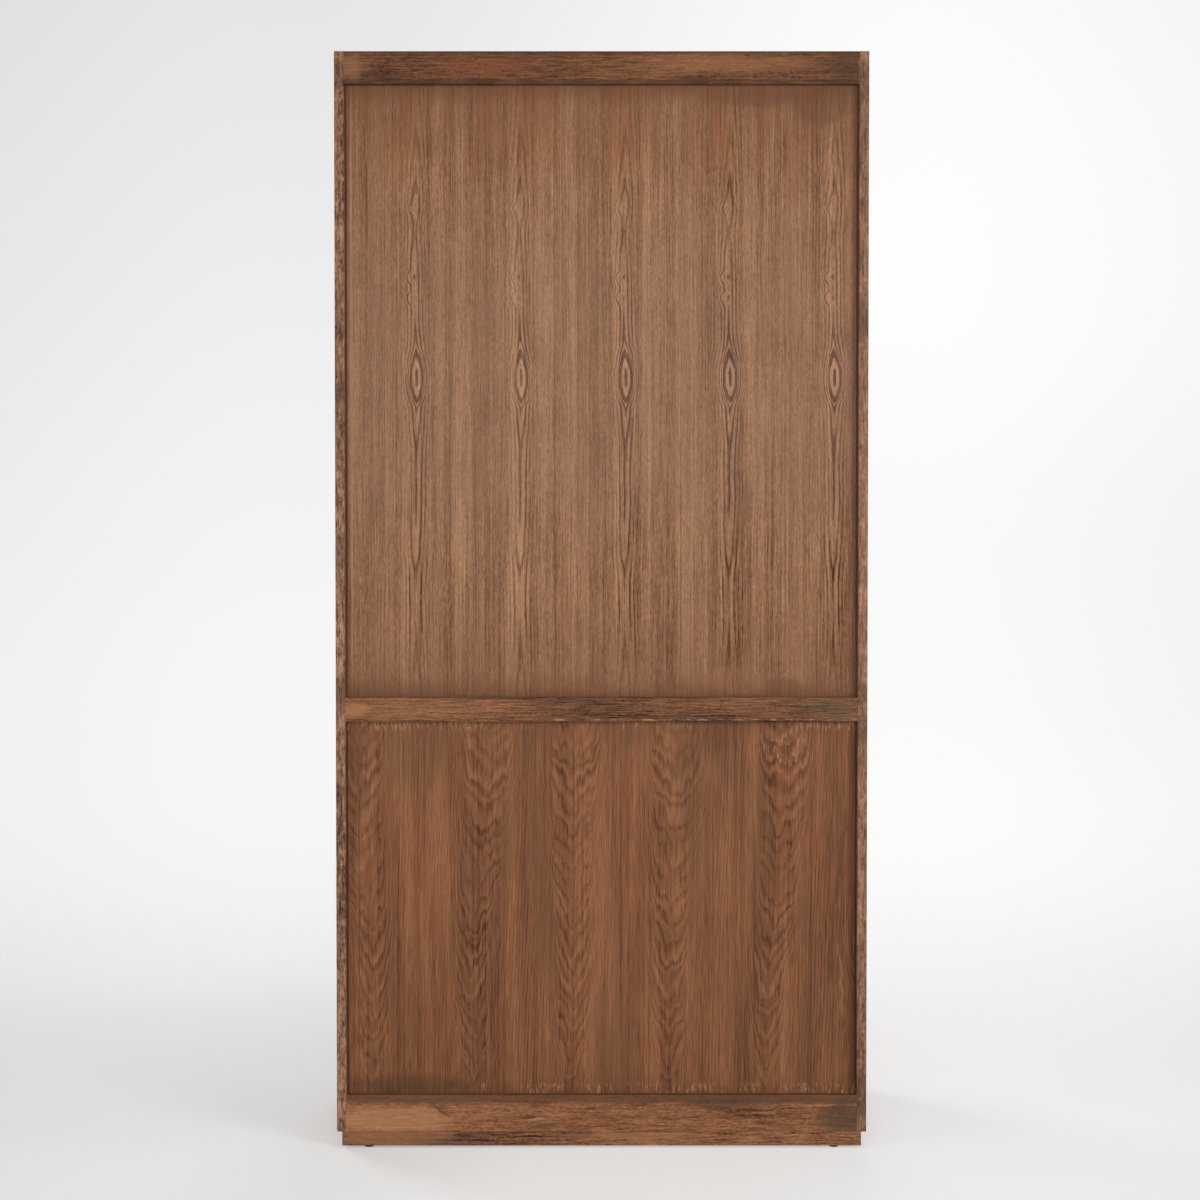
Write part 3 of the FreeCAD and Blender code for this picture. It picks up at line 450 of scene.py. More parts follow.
def upper_veneer():
    wood = Finish("upper_veneer", (141, 101, 72), 0.6, Specular_IOR_Level=0.2)
    leaf, start, aside = leaf_place(wood, UPPER_FIRST_SEAM, UPPER_LEAF, UPPER_FIGURE)
    leaf_noise = noise_on_leaves(wood, leaf, start)
    height = wood.spread(wood.z, UPPER_FOOT, UPPER_HEAD)
    wood.tones(leaf_noise(26, 0.7, 0.5, 3),
               (0.30, (126, 88, 61)), (0.5, (141, 100, 71)), (0.70, (155, 113, 83)))
    wander = wood.less(wood.curve(height, WANDER_CURVE), 0.5)
    wave = wood.less(leaf_noise(16, 5, 0.06, 2), 0.5)
    centre = wood.scaled(wander, 0.022, aside)
    kink = wood.times(wood.curve(height, KINK_CURVE), wood.smooth(aside, 0.004, -0.004))
    kink = wood.times(kink, wood.smooth(aside, -0.032, -0.014))
    centre = wood.scaled(kink, 0.0130, centre)
    centre = wood.scaled(wave, 0.010, centre)
    heart = wood.times(wood.curve(height, HEART_CURVE), MOST_RINGS)
    flat = wood.size(wood.calc("DIVIDE", centre, UPPER_RING))
    powers = wood.calc("ADD", wood.calc("POWER", flat, HEART_POWER),
                       wood.calc("POWER", heart, HEART_POWER))
    radius = wood.calc("POWER", powers, 1 / HEART_POWER)
    radius = wood.scaled(leaf_noise(60, 9, 0.06, 2), 0.5, wood.less(radius, 0.25))
    eye = wood.ramp(wood.calc("DIVIDE", radius, EYE_RINGS), EYE_PROFILE)
    rings = wood.ramp(wood.calc("FRACT", radius), UPPER_RING_PROFILE)
    rings = wood.mix(wood.smooth(radius, 3.25, 3.05), rings, eye)
    clear = wood.smooth(wood.size(centre), 0.030, 0.008)
    strength = wood.scaled(clear, 0.56, 0.12)
    strength = wood.scaled(wood.smooth(radius, 4.7, 4.0), 0.18, strength)
    bold = wood.times(wood.smooth(height, 0.80, 0.64), wood.smooth(height, 0.02, 0.16))
    bold = wood.scaled(bold, 0.45, 0.55)
    bold = wood.scaled(wood.smooth(height, 0.46, 0.30), -0.12, bold)
    wood.grade(rings, wood.times(strength, bold))
    wood.speckle(leaf_noise(48, 0.5, 0.4, 2), 0.14, 0.34, 0.66)
    wood.speckle(leaf_noise(250, 1.3, 0.3, 3), 0.26)
    wood.speckle(wood.cloud((520, 40, 12), 2), 0.22, 0.34, 0.66)
    fine = wood.speckle(wood.cloud((420, 40, 75), 4, 0.65), 0.30)
    wood.speckle(wood.cloud((16, 4, 9), 4, 0.6, shift=(1, 0, 4)), 0.12, 0.30, 0.70)
    pale_zone = wood.smooth(wood.gap(wood.z, PALE_ZONE_HEIGHT), 0.42, 0.12)
    wood.brush(pale_zone, (152, 119, 96), 0.24)
    pores = wood.smooth(wood.cloud((640, 60, 150), 2, 0.6), 0.54, 0.66)
    wood.brush(pores, (100, 66, 43), 0.55)
    wood.brush(wood.smooth(start, 0.070, 0.0), (114, 79, 54), 0.22)
    warm = wood.cloud((38, 4, 3.4), 3, shift=(3, 1, 0))
    warm = wood.times(wood.smooth(warm, 0.47, 0.58), wood.smooth(wood.z, 1.80, 1.90))
    wood.brush(warm, (142, 82, 50), 0.38)
    pale = wood.calc("COMPARE", start, UPPER_LEAF - 0.0305, 0.0009)
    wood.brush(pale, (178, 138, 108), 0.4)
    glint = wood.smooth(wood.gap(wood.x, GLINT_X), 0.0034, 0.001)
    wood.brush(glint, (172, 132, 99), 0.32)
    wood.fray(14, 0.05)
    # Stain and painted shade towards the panel's edges, then a dark line of painted shade along
    # the side boards.
    wood.brush(edge_stain_and_shade(wood, UPPER_FOOT, UPPER_HEAD, 0.055), (96, 62, 40), 0.55)
    wood.brush(wood.corner, (50, 27, 13), 0.80)
    wood.dabs((-0.411, 1.964, 0.055, 0.036, 0.3, (86, 56, 36), 0.50),
              (-0.300, 1.978, 0.080, 0.016, 0.5, (98, 64, 42), 0.45),
              (-0.250, 0.884, 0.090, 0.022, 0.4, (158, 110, 78), 0.30),
              (-0.345, 0.874, 0.035, 0.020, 0.3, (88, 58, 38), 0.35))
    wood.brush(wood.smooth(wood.z, 1.76, 1.99), (106, 68, 43), 0.36)
    wood.brush(wood.smooth(wood.z, 1.10, 0.86), (112, 72, 46), 0.34)
    relief = wood.less(wood.calc("ADD", rings, fine), pores)
    return wood.finished(relief, 0.22, 0.0004)


paint(upper_veneer(), "back_panel_upper")

# %% [markdown]
# ## The lower back panel
#
# The lower panel's leaves are cut flat across the log, which gives nested points, here with
# the points down. The rings are again contours: of the height, less a rise to both sides of
# each leaf's middle, gentle at first and then steep. A ripple that hardly changes over the
# height bends every ring of a leaf alike, as a ripple in the log does.

# %% Lower veneer
LOWER_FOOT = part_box("back_bottom_rail")[1].z
LOWER_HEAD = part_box("back_middle_rail")[0].z
LOWER_LEAF = 0.1875
LOWER_FIRST_SEAM = 0.52825
LOWER_FIGURE = 0.09375
LOWER_RING = 0.037
# Between the straight lines along the sides of a leaf.
LOWER_LINE = 0.0062
# How far the figure's middle leans aside at the head of each leaf, from first to last.
LEAN_CURVE = [(0.0, 0.16), (0.25, 0.86), (0.5, 0.58), (0.75, 0.68), (1.0, 0.88)]
LEAN_REACH = 0.075
# Seams and fine cracks: x, the height of the middle, and half the length.
LOWER_SEAMS = [(0.4585, 0.46, 0.34), (0.150, 0.53, 0.24), (0.0525, 0.67, 0.12),
               (-0.0363, 0.50, 0.28), (-0.2107, 0.56, 0.20), (-0.2884, 0.42, 0.18),
               (-0.3968, 0.45, 0.33)]
LOWER_RING_PROFILE = greys(
    (0.0, 0.52), (0.14, 0.72), (0.46, 0.66), (0.70, 0.38), (0.86, 0.18), (0.94, 0.22), (1.0, 0.50))
LOWER_PITS = [(0.256, 0.459), (0.2555, 0.414), (0.271, 0.281), (0.062, 0.505), (-0.126, 0.386)]
# Patches rubbed dark or pale: middle, half sizes, colour and strength.
DULL, GREY, PALE = (84, 55, 34), (96, 67, 42), (160, 112, 76)
LOWER_PATCHES = [
    (0.352, 0.735, 0.058, 0.052, GREY, 0.80), (0.140, 0.765, 0.022, 0.040, GREY, 0.70),
    (-0.068, 0.770, 0.034, 0.020, GREY, 0.60), (-0.222, 0.765, 0.025, 0.026, DULL, 0.50),
    (-0.213, 0.710, 0.018, 0.034, PALE, 0.30), (-0.270, 0.600, 0.026, 0.130, GREY, 0.50),
    (-0.262, 0.715, 0.032, 0.030, GREY, 0.40), (0.125, 0.450, 0.012, 0.200, GREY, 0.22),
    (0.395, 0.720, 0.012, 0.060, PALE, 0.22), (0.300, 0.660, 0.014, 0.110, PALE, 0.22),
    (0.365, 0.114, 0.112, 0.018, DULL, 0.70), (-0.255, 0.240, 0.030, 0.120, GREY, 0.30),
    (0.250, 0.520, 0.020, 0.060, GREY, 0.25), (-0.450, 0.620, 0.020, 0.160, DULL, 0.30),
]


def lower_veneer():
    wood = Finish("lower_veneer", (122, 77, 48), 0.58, Specular_IOR_Level=0.2)
    leaf, _, aside = leaf_place(wood, LOWER_FIRST_SEAM, LOWER_LEAF, LOWER_FIGURE)
    leaf_noise = noise_on_leaves(wood, leaf, aside)
    wood.tones(wood.cloud((20, 5, 1.4), 3),
               (0.36, (110, 68, 42)), (0.5, (123, 77, 48)), (0.64, (136, 88, 57)))
    lean = wood.less(wood.curve(wood.calc("DIVIDE", leaf, 4.0), LEAN_CURVE), 0.5)
    upright = wood.smooth(wood.z, 0.30, 0.74)
    lean = wood.times(lean, wood.times(upright, LEAN_REACH))
    sway = wood.scaled(leaf_noise(3, 3.5, 2.7, 1), 0.034, -0.017)
    centre = wood.calc("ADD", wood.less(aside, lean), sway)
    off = wood.size(centre)
    half = wood.scaled(upright, 0.016, 0.028)
    flank = wood.calc("SMOOTH_MAX", wood.less(off, half), 0.0, 0.012)
    gentle = wood.scaled(upright, -0.8, 2.0)
    rise = wood.scaled(flank, 6.5, wood.times(off, gentle))
    phase = wood.calc("DIVIDE", wood.less(wood.z, rise), LOWER_RING)
    calm = wood.smooth(flank, 0.020, 0.002)
    phase = wood.scaled(leaf_noise(62, 8, 0.9, 2), wood.scaled(calm, 1.8, 0.2), phase)
    phase = wood.scaled(leaf_noise(0, 16, 1.3, 2), 1.6, phase)
    cut = wood.calc("GREATER_THAN", wood.x, LOWER_SEAMS[0][0])
    phase = wood.scaled(cut, 0.45, phase)
    rings = wood.ramp(wood.calc("FRACT", phase), LOWER_RING_PROFILE)
    pointed = wood.smooth(flank, 0.034, 0.010)
    depth = wood.scaled(wood.smooth(off, 0.0, 0.012), 0.16, 0.21)
    wood.grade(rings, wood.times(depth, pointed))
    waver = wood.cloud((5, 2, 1.6), 2)
    leaning = wood.scaled(wood.z, 0.05, wood.x)
    line = wood.scaled(waver, 4.0, wood.calc("DIVIDE", leaning, LOWER_LINE))
    line = wood.ramp(wood.calc("FRACT", line), LOWER_RING_PROFILE)
    firm = wood.smooth(wood.cloud((22, 2, 3), 2), 0.34, 0.62)
    firm = wood.times(firm, wood.less(1.0, pointed))
    wood.grade(line, wood.times(firm, 0.36))
    soft = wood.smooth(leaf_noise(38, 16, 0.5, 2), 0.36, 0.60)
    wood.brush(wood.times(soft, calm), (106, 66, 41), 0.20)
    follow = wood.vector(wood.times(phase, 2.2), 0.0, wood.times(wood.z, 9))
    wood.speckle(wood.noise(follow, 2), wood.times(pointed, 0.20), 0.34, 0.66)
    fine = wood.speckle(wood.cloud((430, 40, 22), 4, 0.65), 0.30)
    streak = wood.cloud((190, 20, 1.6), 3, 0.6)
    wood.speckle(streak, 0.18)
    pores = wood.smooth(wood.cloud((520, 60, 50), 2, 0.6), 0.56, 0.68)
    wood.brush(pores, (88, 54, 33), 0.4)
    grey = wood.cloud((15, 4, 2.2), 4, shift=(5, 2, 8))
    wood.brush(wood.smooth(grey, 0.52, 0.68), GREY, 0.42)
    wood.fray(260, 0.0012)
    for x, z, tall in LOWER_SEAMS:
        wood.brush(wood.spot(x, z, 0.0014, tall, 0.5), (74, 45, 27), 0.5)
    for x, z in LOWER_PITS:
        wood.brush(wood.spot(x, z, 0.006, 0.006, 0.6), (86, 56, 36), 0.35)
    wood.fray(20, 0.035)
    wood.brush(wood.stroke((-0.171, 0.70), (-0.147, 0.465), 0.0035), (84, 55, 36), 0.45)
    wood.brush(wood.stroke((-0.463, 0.66), (-0.425, 0.27), 0.006), (78, 52, 35), 0.50)
    wood.brush(wood.stroke((-0.449, 0.39), (-0.455, 0.24), 0.004), (160, 118, 80), 0.35)
    broken = wood.scaled(wood.smooth(streak, 0.62, 0.38), 0.8, 0.2)
    for x, z, wide, tall, colour, strength in LOWER_PATCHES:
        patch = wood.times(wood.spot(x, z, wide, tall, 0.6), broken)
        wood.brush(patch, colour, strength)
    wood.dabs((0.362, 0.119, 0.108, 0.017, 0.35, DULL, 0.45))
    # Stain and painted shade towards the panel's edges, then a dark line of painted shade along
    # the side boards.
    wood.brush(edge_stain_and_shade(wood, LOWER_FOOT, LOWER_HEAD, 0.045), (90, 58, 37), 0.3)
    wood.brush(wood.corner, (46, 25, 12), 0.80)
    worn = wood.smooth(wood.cloud((300, 8, 60), 3, 0.65), 0.50, 0.62)
    hatch = wood.times(worn, wood.smooth(rings, 0.50, 0.60))
    wood.brush(wood.times(hatch, wood.spot(-0.349, 0.757, 0.055, 0.036, 0.5)),
               (172, 126, 88), 0.55)
    patchy = wood.times(worn, wood.smooth(wood.cloud((13, 2, 2), 2), 0.42, 0.52))
    ends = wood.calc("MAXIMUM", wood.smooth(wood.z, 0.783, 0.797),
                     wood.times(wood.smooth(wood.z, 0.124, 0.114),
                                wood.smooth(wood.x, 0.26, 0.22)))
    wood.brush(wood.times(patchy, ends), (176, 130, 92), 0.6)
    relief = wood.less(wood.calc("ADD", rings, fine), pores)
    return wood.finished(relief, 0.22, 0.0004)


paint(lower_veneer(), "back_panel_lower")

# %% [markdown]
# ## Back rails and plinth
#
# The three rails behind were wiped with stain by hand and then handled, so each has its own
# marks: a dark wavy line along the foot of the top rail, a pale rubbed end on the middle rail,
# and a bare patch at one end of the bottom rail with a dark grey smear at the other. Each mark
# is a soft spot with a ragged edge, brushed over the board's own grain.

# %% Back rails
RAIL_TONES = ((76, 45, 27), (110, 70, 44), (142, 95, 62))
# Heights of the top rail's wavy dark line and of the chips along the middle rail's foot.
TOP_RAIL_LINE = 1.9985
MIDDLE_RAIL_CHIPS = 0.8102


def top_rail_finish():
    tones = ((78, 45, 26), (103, 63, 37), (125, 80, 48))
    wood, relief = board_finish("top_rail_wood", "x", tones, 1, 0.008, 0.9, 0.5)
    wood.dabs((0.22, 2.032, 0.10, 0.020, 0.5, (132, 74, 45), 0.40),
              (-0.23, 2.037, 0.15, 0.016, 0.5, (156, 106, 70), 0.45))
    wood.grade(wood.grain, 0.30)
    line = wood.scaled(wood.cloud((9, 0, 0), 3), 0.010, TOP_RAIL_LINE)
    near_line = wood.smooth(wood.gap(wood.z, line), 0.0060, 0.0012)
    uneven = wood.times(wood.cloud((22, 0, 60), 3), 1.1)
    wood.brush(wood.times(near_line, uneven), (48, 29, 19))
    for x, z, wide, tall in ((0.395, 2.0085, 0.024, 0.005), (0.220, 2.006, 0.040, 0.005),
                             (-0.170, 2.009, 0.034, 0.006), (0.430, 2.017, 0.022, 0.005)):
        wood.brush(wood.spot(x, z, wide, tall), (56, 34, 22), 0.6)
    arris = wood.times(wood.smooth(wood.z, 2.0545, 2.0590),
                       wood.smooth(wood.y, BACK_Y - 0.005, BACK_Y - 0.001))
    wood.brush(arris, (52, 36, 26), 0.8)
    wood.dabs((0.466, 2.030, 0.018, 0.022, 0.6, (158, 110, 76), 0.45),
              (-0.455, 2.030, 0.035, 0.030, 0.6, DIRT, 0.55),
              (-0.489, 2.041, 0.008, 0.010, 0.4, (168, 108, 68), 0.6))
    rub_edges(wood)
    return wood.finished(relief)


def middle_rail_finish():
    wood, relief = board_finish("middle_rail_wood", "x", RAIL_TONES, 4, 0.0066, 2.8, 0.50, 0.15)
    wood.dabs((0.463, 0.829, 0.026, 0.014, 0.5, (176, 122, 80), 0.65),
              (0.400, 0.828, 0.055, 0.016, 0.6, (158, 108, 72), 0.35),
              (0.08, 0.845, 0.09, 0.008, 0.6, DIRT, 0.5),
              (-0.43, 0.830, 0.055, 0.022, 0.6, (92, 74, 56), 0.50))
    chips = wood.smooth(wood.cloud((30, 30, 90), 4, 0.65), 0.50, 0.60)
    near_foot = wood.smooth(wood.gap(wood.z, MIDDLE_RAIL_CHIPS), 0.0022, 0.0006)
    chips = wood.times(near_foot, chips)
    wood.brush(wood.times(chips, wood.smooth(wood.x, 0.16, 0.08)), (190, 144, 104), 0.6)
    wavy = wood.cloud((11, 0, 34), 2, shift=(2, 0, 0))
    level = wood.scaled(wavy, 4.2, wood.calc("DIVIDE", wood.z, 0.0046))
    wood.grade(wood.ramp(wood.calc("FRACT", level), RING_PROFILE), 0.45)
    wood.grade(wood.grain, 0.32)
    wood.brush(wood.smooth(wood.z, 0.8500, 0.8518), THREAD, 0.5)
    rub_edges(wood, 0.003, 0.5)
    return wood.finished(relief, 0.45, 0.0008)


def bottom_rail_finish():
    tones = ((104, 66, 41), (135, 88, 56), (160, 108, 72))
    wood, relief = board_finish("bottom_rail_wood", "x", tones, 7, 0.010, 0.8, 0.20)
    wood.dabs((0.392, 0.054, 0.105, 0.023, 0.3, (178, 127, 88), 0.6))
    wood.grade(wood.grain, 0.25)
    wood.brush(wood.stroke((0.330, 0.090), (0.283, 0.056), 0.008), (74, 56, 40), 0.6)
    wood.brush(wood.smooth(wood.z, 0.081, 0.090), (84, 57, 38), 0.75)
    wood.dabs((-0.23, 0.084, 0.075, 0.010, 0.5, (76, 49, 32), 0.55),
              (0.135, 0.0585, 0.014, 0.0035, 0.4, (70, 44, 28), 0.7),
              (0.125, 0.0535, 0.018, 0.0030, 0.4, (178, 130, 92), 0.6))
    wood.brush(wood.times(wood.smooth(wood.x, -0.402, -0.410),
                          wood.smooth(wood.z, 0.082, 0.070)), (84, 66, 46), 0.40)
    wood.dabs((-0.462, 0.058, 0.045, 0.032, 0.4, (70, 52, 37), 0.6))
    rub_edges(wood)
    return wood.finished(relief)


def plinth_finish():
    tones = ((92, 57, 35), (124, 80, 51), (150, 101, 67))
    wood, relief = board_finish("plinth_wood", "x", tones, 11, 0.008, 1.2, 0.7)
    wood.grade(wood.grain, 0.40)
    wood.dabs((-0.07, 0.022, 0.11, 0.008, 0.5, (160, 112, 77), 0.5),
              (0.39, 0.020, 0.10, 0.020, 0.5, (154, 106, 72), 0.6),
              (0.26, 0.020, 0.02, 0.006, 0.6, (70, 44, 29), 0.5))
    rub_edges(wood, 0.002)
    return wood.finished(relief)


paint(top_rail_finish(), "back_top_rail")
paint(middle_rail_finish(), "back_middle_rail")
paint(bottom_rail_finish(), "back_bottom_rail")
paint(plinth_finish(), "plinth_back", "plinth_front", "plinth_sides")

# %% [markdown]
# ## Side panels
#
# Each side is one wide board with upright grain. Seen from behind only its edge shows, blotchy
# where the stain soaked in, with dark smears at the joints of the middle rail. Those marks are
# kept to the edge by a mask on depth, so that the broad faces stay calm.

# %% Side finish
SIDE_TONES = ((96, 63, 44), (132, 93, 69), (165, 123, 95))
# Smears at the joints: x, z and half height. Plugs over screws: x and z.
JOINT_MARKS = [(0.491, 1.42, 0.02), (0.491, 0.86, 0.035), (-0.491, 0.86, 0.02),
               (-0.491, 0.79, 0.03), (-0.491, 0.10, 0.04), (0.491, 2.02, 0.03),
               (-0.491, 2.0, 0.04), (0.491, 1.12, 0.03), (-0.491, 1.55, 0.03)]
PLUGS = [(-0.4893, 0.8495), (-0.4893, 0.813), (-0.4893, 0.093)]


def side_finish():
    wood, relief = board_finish("side_wood", "z", SIDE_TONES, 2, 0.0075, 1.6, 0.45, 0.3)
    blotch = wood.cloud((110, 110, 48), 4, 0.65)
    edge = wood.smooth(wood.y, BACK_Y - 0.012, BACK_Y - 0.002)
    soaked = wood.times(wood.smooth(blotch, 0.52, 0.62), edge)
    wood.brush(soaked, (78, 50, 34), 0.65)
    bare = wood.times(wood.smooth(blotch, 0.46, 0.38), edge)
    wood.brush(bare, (178, 136, 105), 0.50)
    wood.grade(wood.grain, wood.times(edge, 0.55))
    # The edge on the key lamp's side, -X, is painted lighter: painted light.
    painted_key_light = wood.times(wood.smooth(wood.x, 0.2, -0.2), edge)
    wood.brush(painted_key_light, (164, 122, 92), 0.22)
    for x, z, tall in JOINT_MARKS:
        smear = wood.times(wood.spot(x, z, 0.02, tall, 0.5), edge)
        wood.brush(smear, DIRT, 0.5)
    wood.ragged = wood.place
    for x, z in PLUGS:
        for radius, colour in ((0.0052, (80, 52, 35)), (0.0040, (136, 90, 60))):
            plug = wood.times(wood.spot(x, z, radius, radius, 0.15), edge)
            wood.brush(plug, colour, 0.8)
    rub_edges(wood, 0.003, 0.6)
    return wood.finished(relief)


paint(side_finish(), "side_panel_left", "side_panel_right")

# %% [markdown]
# ## Doors, front rails, decks and shelves
#
# The front wears the same stain as the lower panel. Boards that stand get upright grain and
# boards that lie get level grain, so that every joint reads as two pieces.

# %% Front woods
DOOR_TONES = ((96, 60, 37), (123, 79, 50), (148, 101, 68))
INSIDE_TONES = ((114, 76, 50), (142, 100, 70), (166, 123, 90))


def plain_board(name, grain, tones, seed, ring=0.008, wave=1.4):
    wood, relief = board_finish(name, grain, tones, seed, ring, wave, 0.5, 0.25)
    rub_edges(wood, 0.002, 0.55)
    return wood.finished(relief)


DOORS = [level + "_" + side for level in ("lower", "upper") for side in ("left", "right")]
front_rails = plain_board("front_rail_wood", "x", DOOR_TONES, 14)
paint(front_rails, "front_top_rail", "front_middle_rail", "front_bottom_rail")
door_stiles = plain_board("door_stile_wood", "z", DOOR_TONES, 17)
door_rails = plain_board("door_rail_wood", "x", DOOR_TONES, 19)
for door in DOORS:
    paint(door_stiles, door + "_hinge_stile", door + "_meeting_stile")
    paint(door_rails, door + "_top_rail", door + "_bottom_rail")
door_panels = plain_board("door_panel_wood", "z", DOOR_TONES, 23, 0.013, 2.4)
paint(door_panels, "lower_left_panel", "lower_right_panel")
paint(door_stiles, "upper_left_slats", "upper_right_slats")
decks = plain_board("deck_wood", "x", INSIDE_TONES, 29, 0.010, 1.6)
paint(decks, "top_panel", "middle_deck", "bottom_panel")
paint(plain_board("shelf_wood", "x", INSIDE_TONES, 31, 0.012, 1.8),
      "shelf_lower", "shelf_upper_low", "shelf_upper_high")

# %% [markdown]
# ## Metal and plastic
#
# The hinges and plates are aged brass, brighter and duller in clouds. The pulls and nails are
# a warmer, smoother brass, because fingers keep rubbing them, and so they stand out from the
# plates. The metalness is one number for the whole surface, so it is set on the shader itself,
# and only the colour and the roughness come from noise.


# %% Metal and plastic finishes
def metal_finish(name, dull, bright, low, high, scale):
    finish = Finish(name, bright, low, Metallic=1.0)
    cloud = finish.cloud((scale,) * 3, 6, 0.6)
    finish.tones(cloud, (0.34, dull), (0.60, bright))
    speck = finish.cloud((scale * 9,) * 3, 3)
    finish.brush(finish.smooth(speck, 0.58, 0.74), dull, 0.3)
    gloss = finish.scaled(cloud, low - high, high)
    return finish.finished(speck, 0.12, 0.0002, gloss)


def plastic_finish(name, colour, roughness):
    finish = Finish(name, colour, roughness)
    dust = finish.cloud((180, 180, 180), 4)
    lighter = tuple(min(1.0, value * 2.2 + 0.004) for value in finish.colour[:3]) + (1.0,)
    finish.colour = finish.ramp(dust, [(0.45, finish.colour), (0.75, lighter)])
    grain = finish.cloud((2200, 2200, 2200), 2)
    gloss = finish.scaled(dust, 0.3, roughness - 0.15)
    return finish.finished(grain, 0.15, 0.0002, gloss)


brass = metal_finish("aged_brass", (112, 86, 50), (158, 124, 70), 0.32, 0.48, 60)
handled_brass = metal_finish("handled_brass", (98, 70, 38), (148, 108, 56),
                             0.24, 0.38, 120)
steel = metal_finish("steel", (120, 118, 114), (186, 184, 180), 0.28, 0.44, 140)
paint(brass, "hinge_frame_leaves", "hinge_pins")
for door in DOORS:
    paint(brass, door + "_hinge_leaves", door + "_pull_plate")
    paint(handled_brass, door + "_pull")
    paint(steel, door + "_strike_plate")
paint(steel, "shelf_pins")
paint(plastic_finish("glide_black", (24, 23, 22), 0.5), "floor_glides")
paint(plastic_finish("catch_brown", (58, 44, 34), 0.55), "door_catches")

# %% [markdown]
# ## Turned pieces
#
# Pulls and nail heads are all round, so they come off a lathe: a few points of a half outline,
# spun once about an axis. `spin` leaves a seam and a pole, which merging doubles closes, and
# the faces are then turned to point outwards.


# %% The lathe
def lathe(mesh, outline, steps, place):
    """Spin a half outline of (radius, height) points about Z into a mesh, then place it."""
    start = [mesh.verts.new((radius, 0, height)) for radius, height in outline]
    edges = [mesh.edges.new(pair) for pair in zip(start, start[1:])]
    made = bmesh.ops.spin(mesh, geom=start + edges, cent=(0, 0, 0), axis=(0, 0, 1),
                          angle=2 * math.pi, steps=steps, use_merge=True)
    last = {item for item in made["geom_last"] if isinstance(item, bmesh.types.BMVert)}
    turned = set(start) | last
    grown = list(turned)
    while grown:
        vert = grown.pop()
        for edge in vert.link_edges:
            other = edge.other_vert(vert)
            if other not in turned:
                turned.add(other)
                grown.append(other)
    bmesh.ops.transform(mesh, matrix=place, verts=list(turned))


def into_object(mesh, name, body, material):
    """Close the seams, turn the faces outwards, and make the mesh a piece on a body."""
    bmesh.ops.remove_doubles(mesh, verts=mesh.verts, dist=1e-6)
    bmesh.ops.recalc_face_normals(mesh, faces=mesh.faces)
    data = bpy.data.meshes.new(name)
    mesh.to_mesh(data)
    mesh.free()
    data.materials.append(material)
    data.shade_smooth()
    piece = bpy.data.objects.new(name, data)
    bpy.context.scene.collection.objects.link(piece)
    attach(piece, body)
    print(name, "has", len(data.polygons), "faces")
    return piece


# %% [markdown]
# ## Nails
#
# Each hinge leaf and each half plate is nailed on with small domed brass nails. A dome needs
# only a short outline, and the nails of one body share one object.

# %% Hinge and plate nails
NAIL_RADIUS = 0.0019
NAIL_DOME = [(NAIL_RADIUS * across, NAIL_RADIUS * up) for across, up in
             ((0, 0.48), (0.5, 0.40), (0.85, 0.20), (1.0, 0.0), (1.0, -0.15))]
FACING_FRONT = Matrix.Rotation(math.radians(90), 4, "X")
FACING_BACK = Matrix.Rotation(math.radians(-90), 4, "X")
LEAF_THICKNESS = 0.0016
LEAF_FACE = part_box("hinge_frame_leaves")[1].y - LEAF_THICKNESS
LOWER_HINGE_INSET, UPPER_HINGE_INSET = 0.105, 0.130
lower_low, lower_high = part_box("lower_right_hinge_stile")
upper_low, upper_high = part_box("upper_right_hinge_stile")
HINGE_HEIGHTS = {
    "lower": (lower_low.z + LOWER_HINGE_INSET, lower_high.z - LOWER_HINGE_INSET),
    "upper": (upper_low.z + UPPER_HINGE_INSET, (upper_low.z + upper_high.z) / 2,
              upper_high.z - UPPER_HINGE_INSET),
}
# Three nails stand in a frame leaf and in the inner row of a door leaf, two in its outer row.
NAIL_RISES = (-0.024, 0.0, 0.024)
FRAME_NAIL_X, INNER_NAIL_X, OUTER_NAIL_X = 0.4906, 0.4535, 0.470
PLATE_NAIL_CIRCLE = 0.041
BODY_OF = {door: door + "_door" for door in DOORS}


def nails(name, body, spots, y):
    mesh = bmesh.new()
    for x, z in spots:
        lathe(mesh, NAIL_DOME, 12, Matrix.Translation((x, y, z)) @ FACING_FRONT)
    return into_object(mesh, name, body, handled_brass)


frame_spots = [(side * FRAME_NAIL_X, height + rise) for side in (-1, 1)
               for heights in HINGE_HEIGHTS.values() for height in heights for rise in NAIL_RISES]
nails("hinge_nails_frame", "carcass", frame_spots, LEAF_FACE)
for door in DOORS:
    level, side = door.split("_")
    way = 1 if side == "right" else -1
    spots = [(way * INNER_NAIL_X, height + rise) for height in HINGE_HEIGHTS[level]
             for rise in NAIL_RISES]
    spots += [(way * OUTER_NAIL_X, height + rise) for height in HINGE_HEIGHTS[level]
              for rise in NAIL_RISES[::2]]
    low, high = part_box(door + "_pull_plate")
    middle = (low.z + high.z) / 2
    spots += [(way * PLATE_NAIL_CIRCLE * math.cos(math.radians(turn)),
               middle + PLATE_NAIL_CIRCLE * math.sin(math.radians(turn)))
              for turn in range(-75, 76, 30)]
    nails(door + "_nails", BODY_OF[door], spots, LEAF_FACE)

# %% [markdown]
# ## Drop pulls
#
# The pull hangs by an eye from a pin between two ears. Its drop swells towards the bottom and
# ends in a small bead. It replaces the plain CAD turning with a rounder one of the same size:
# the outline is spun in 40 steps, and a subdivision surface smooths it.

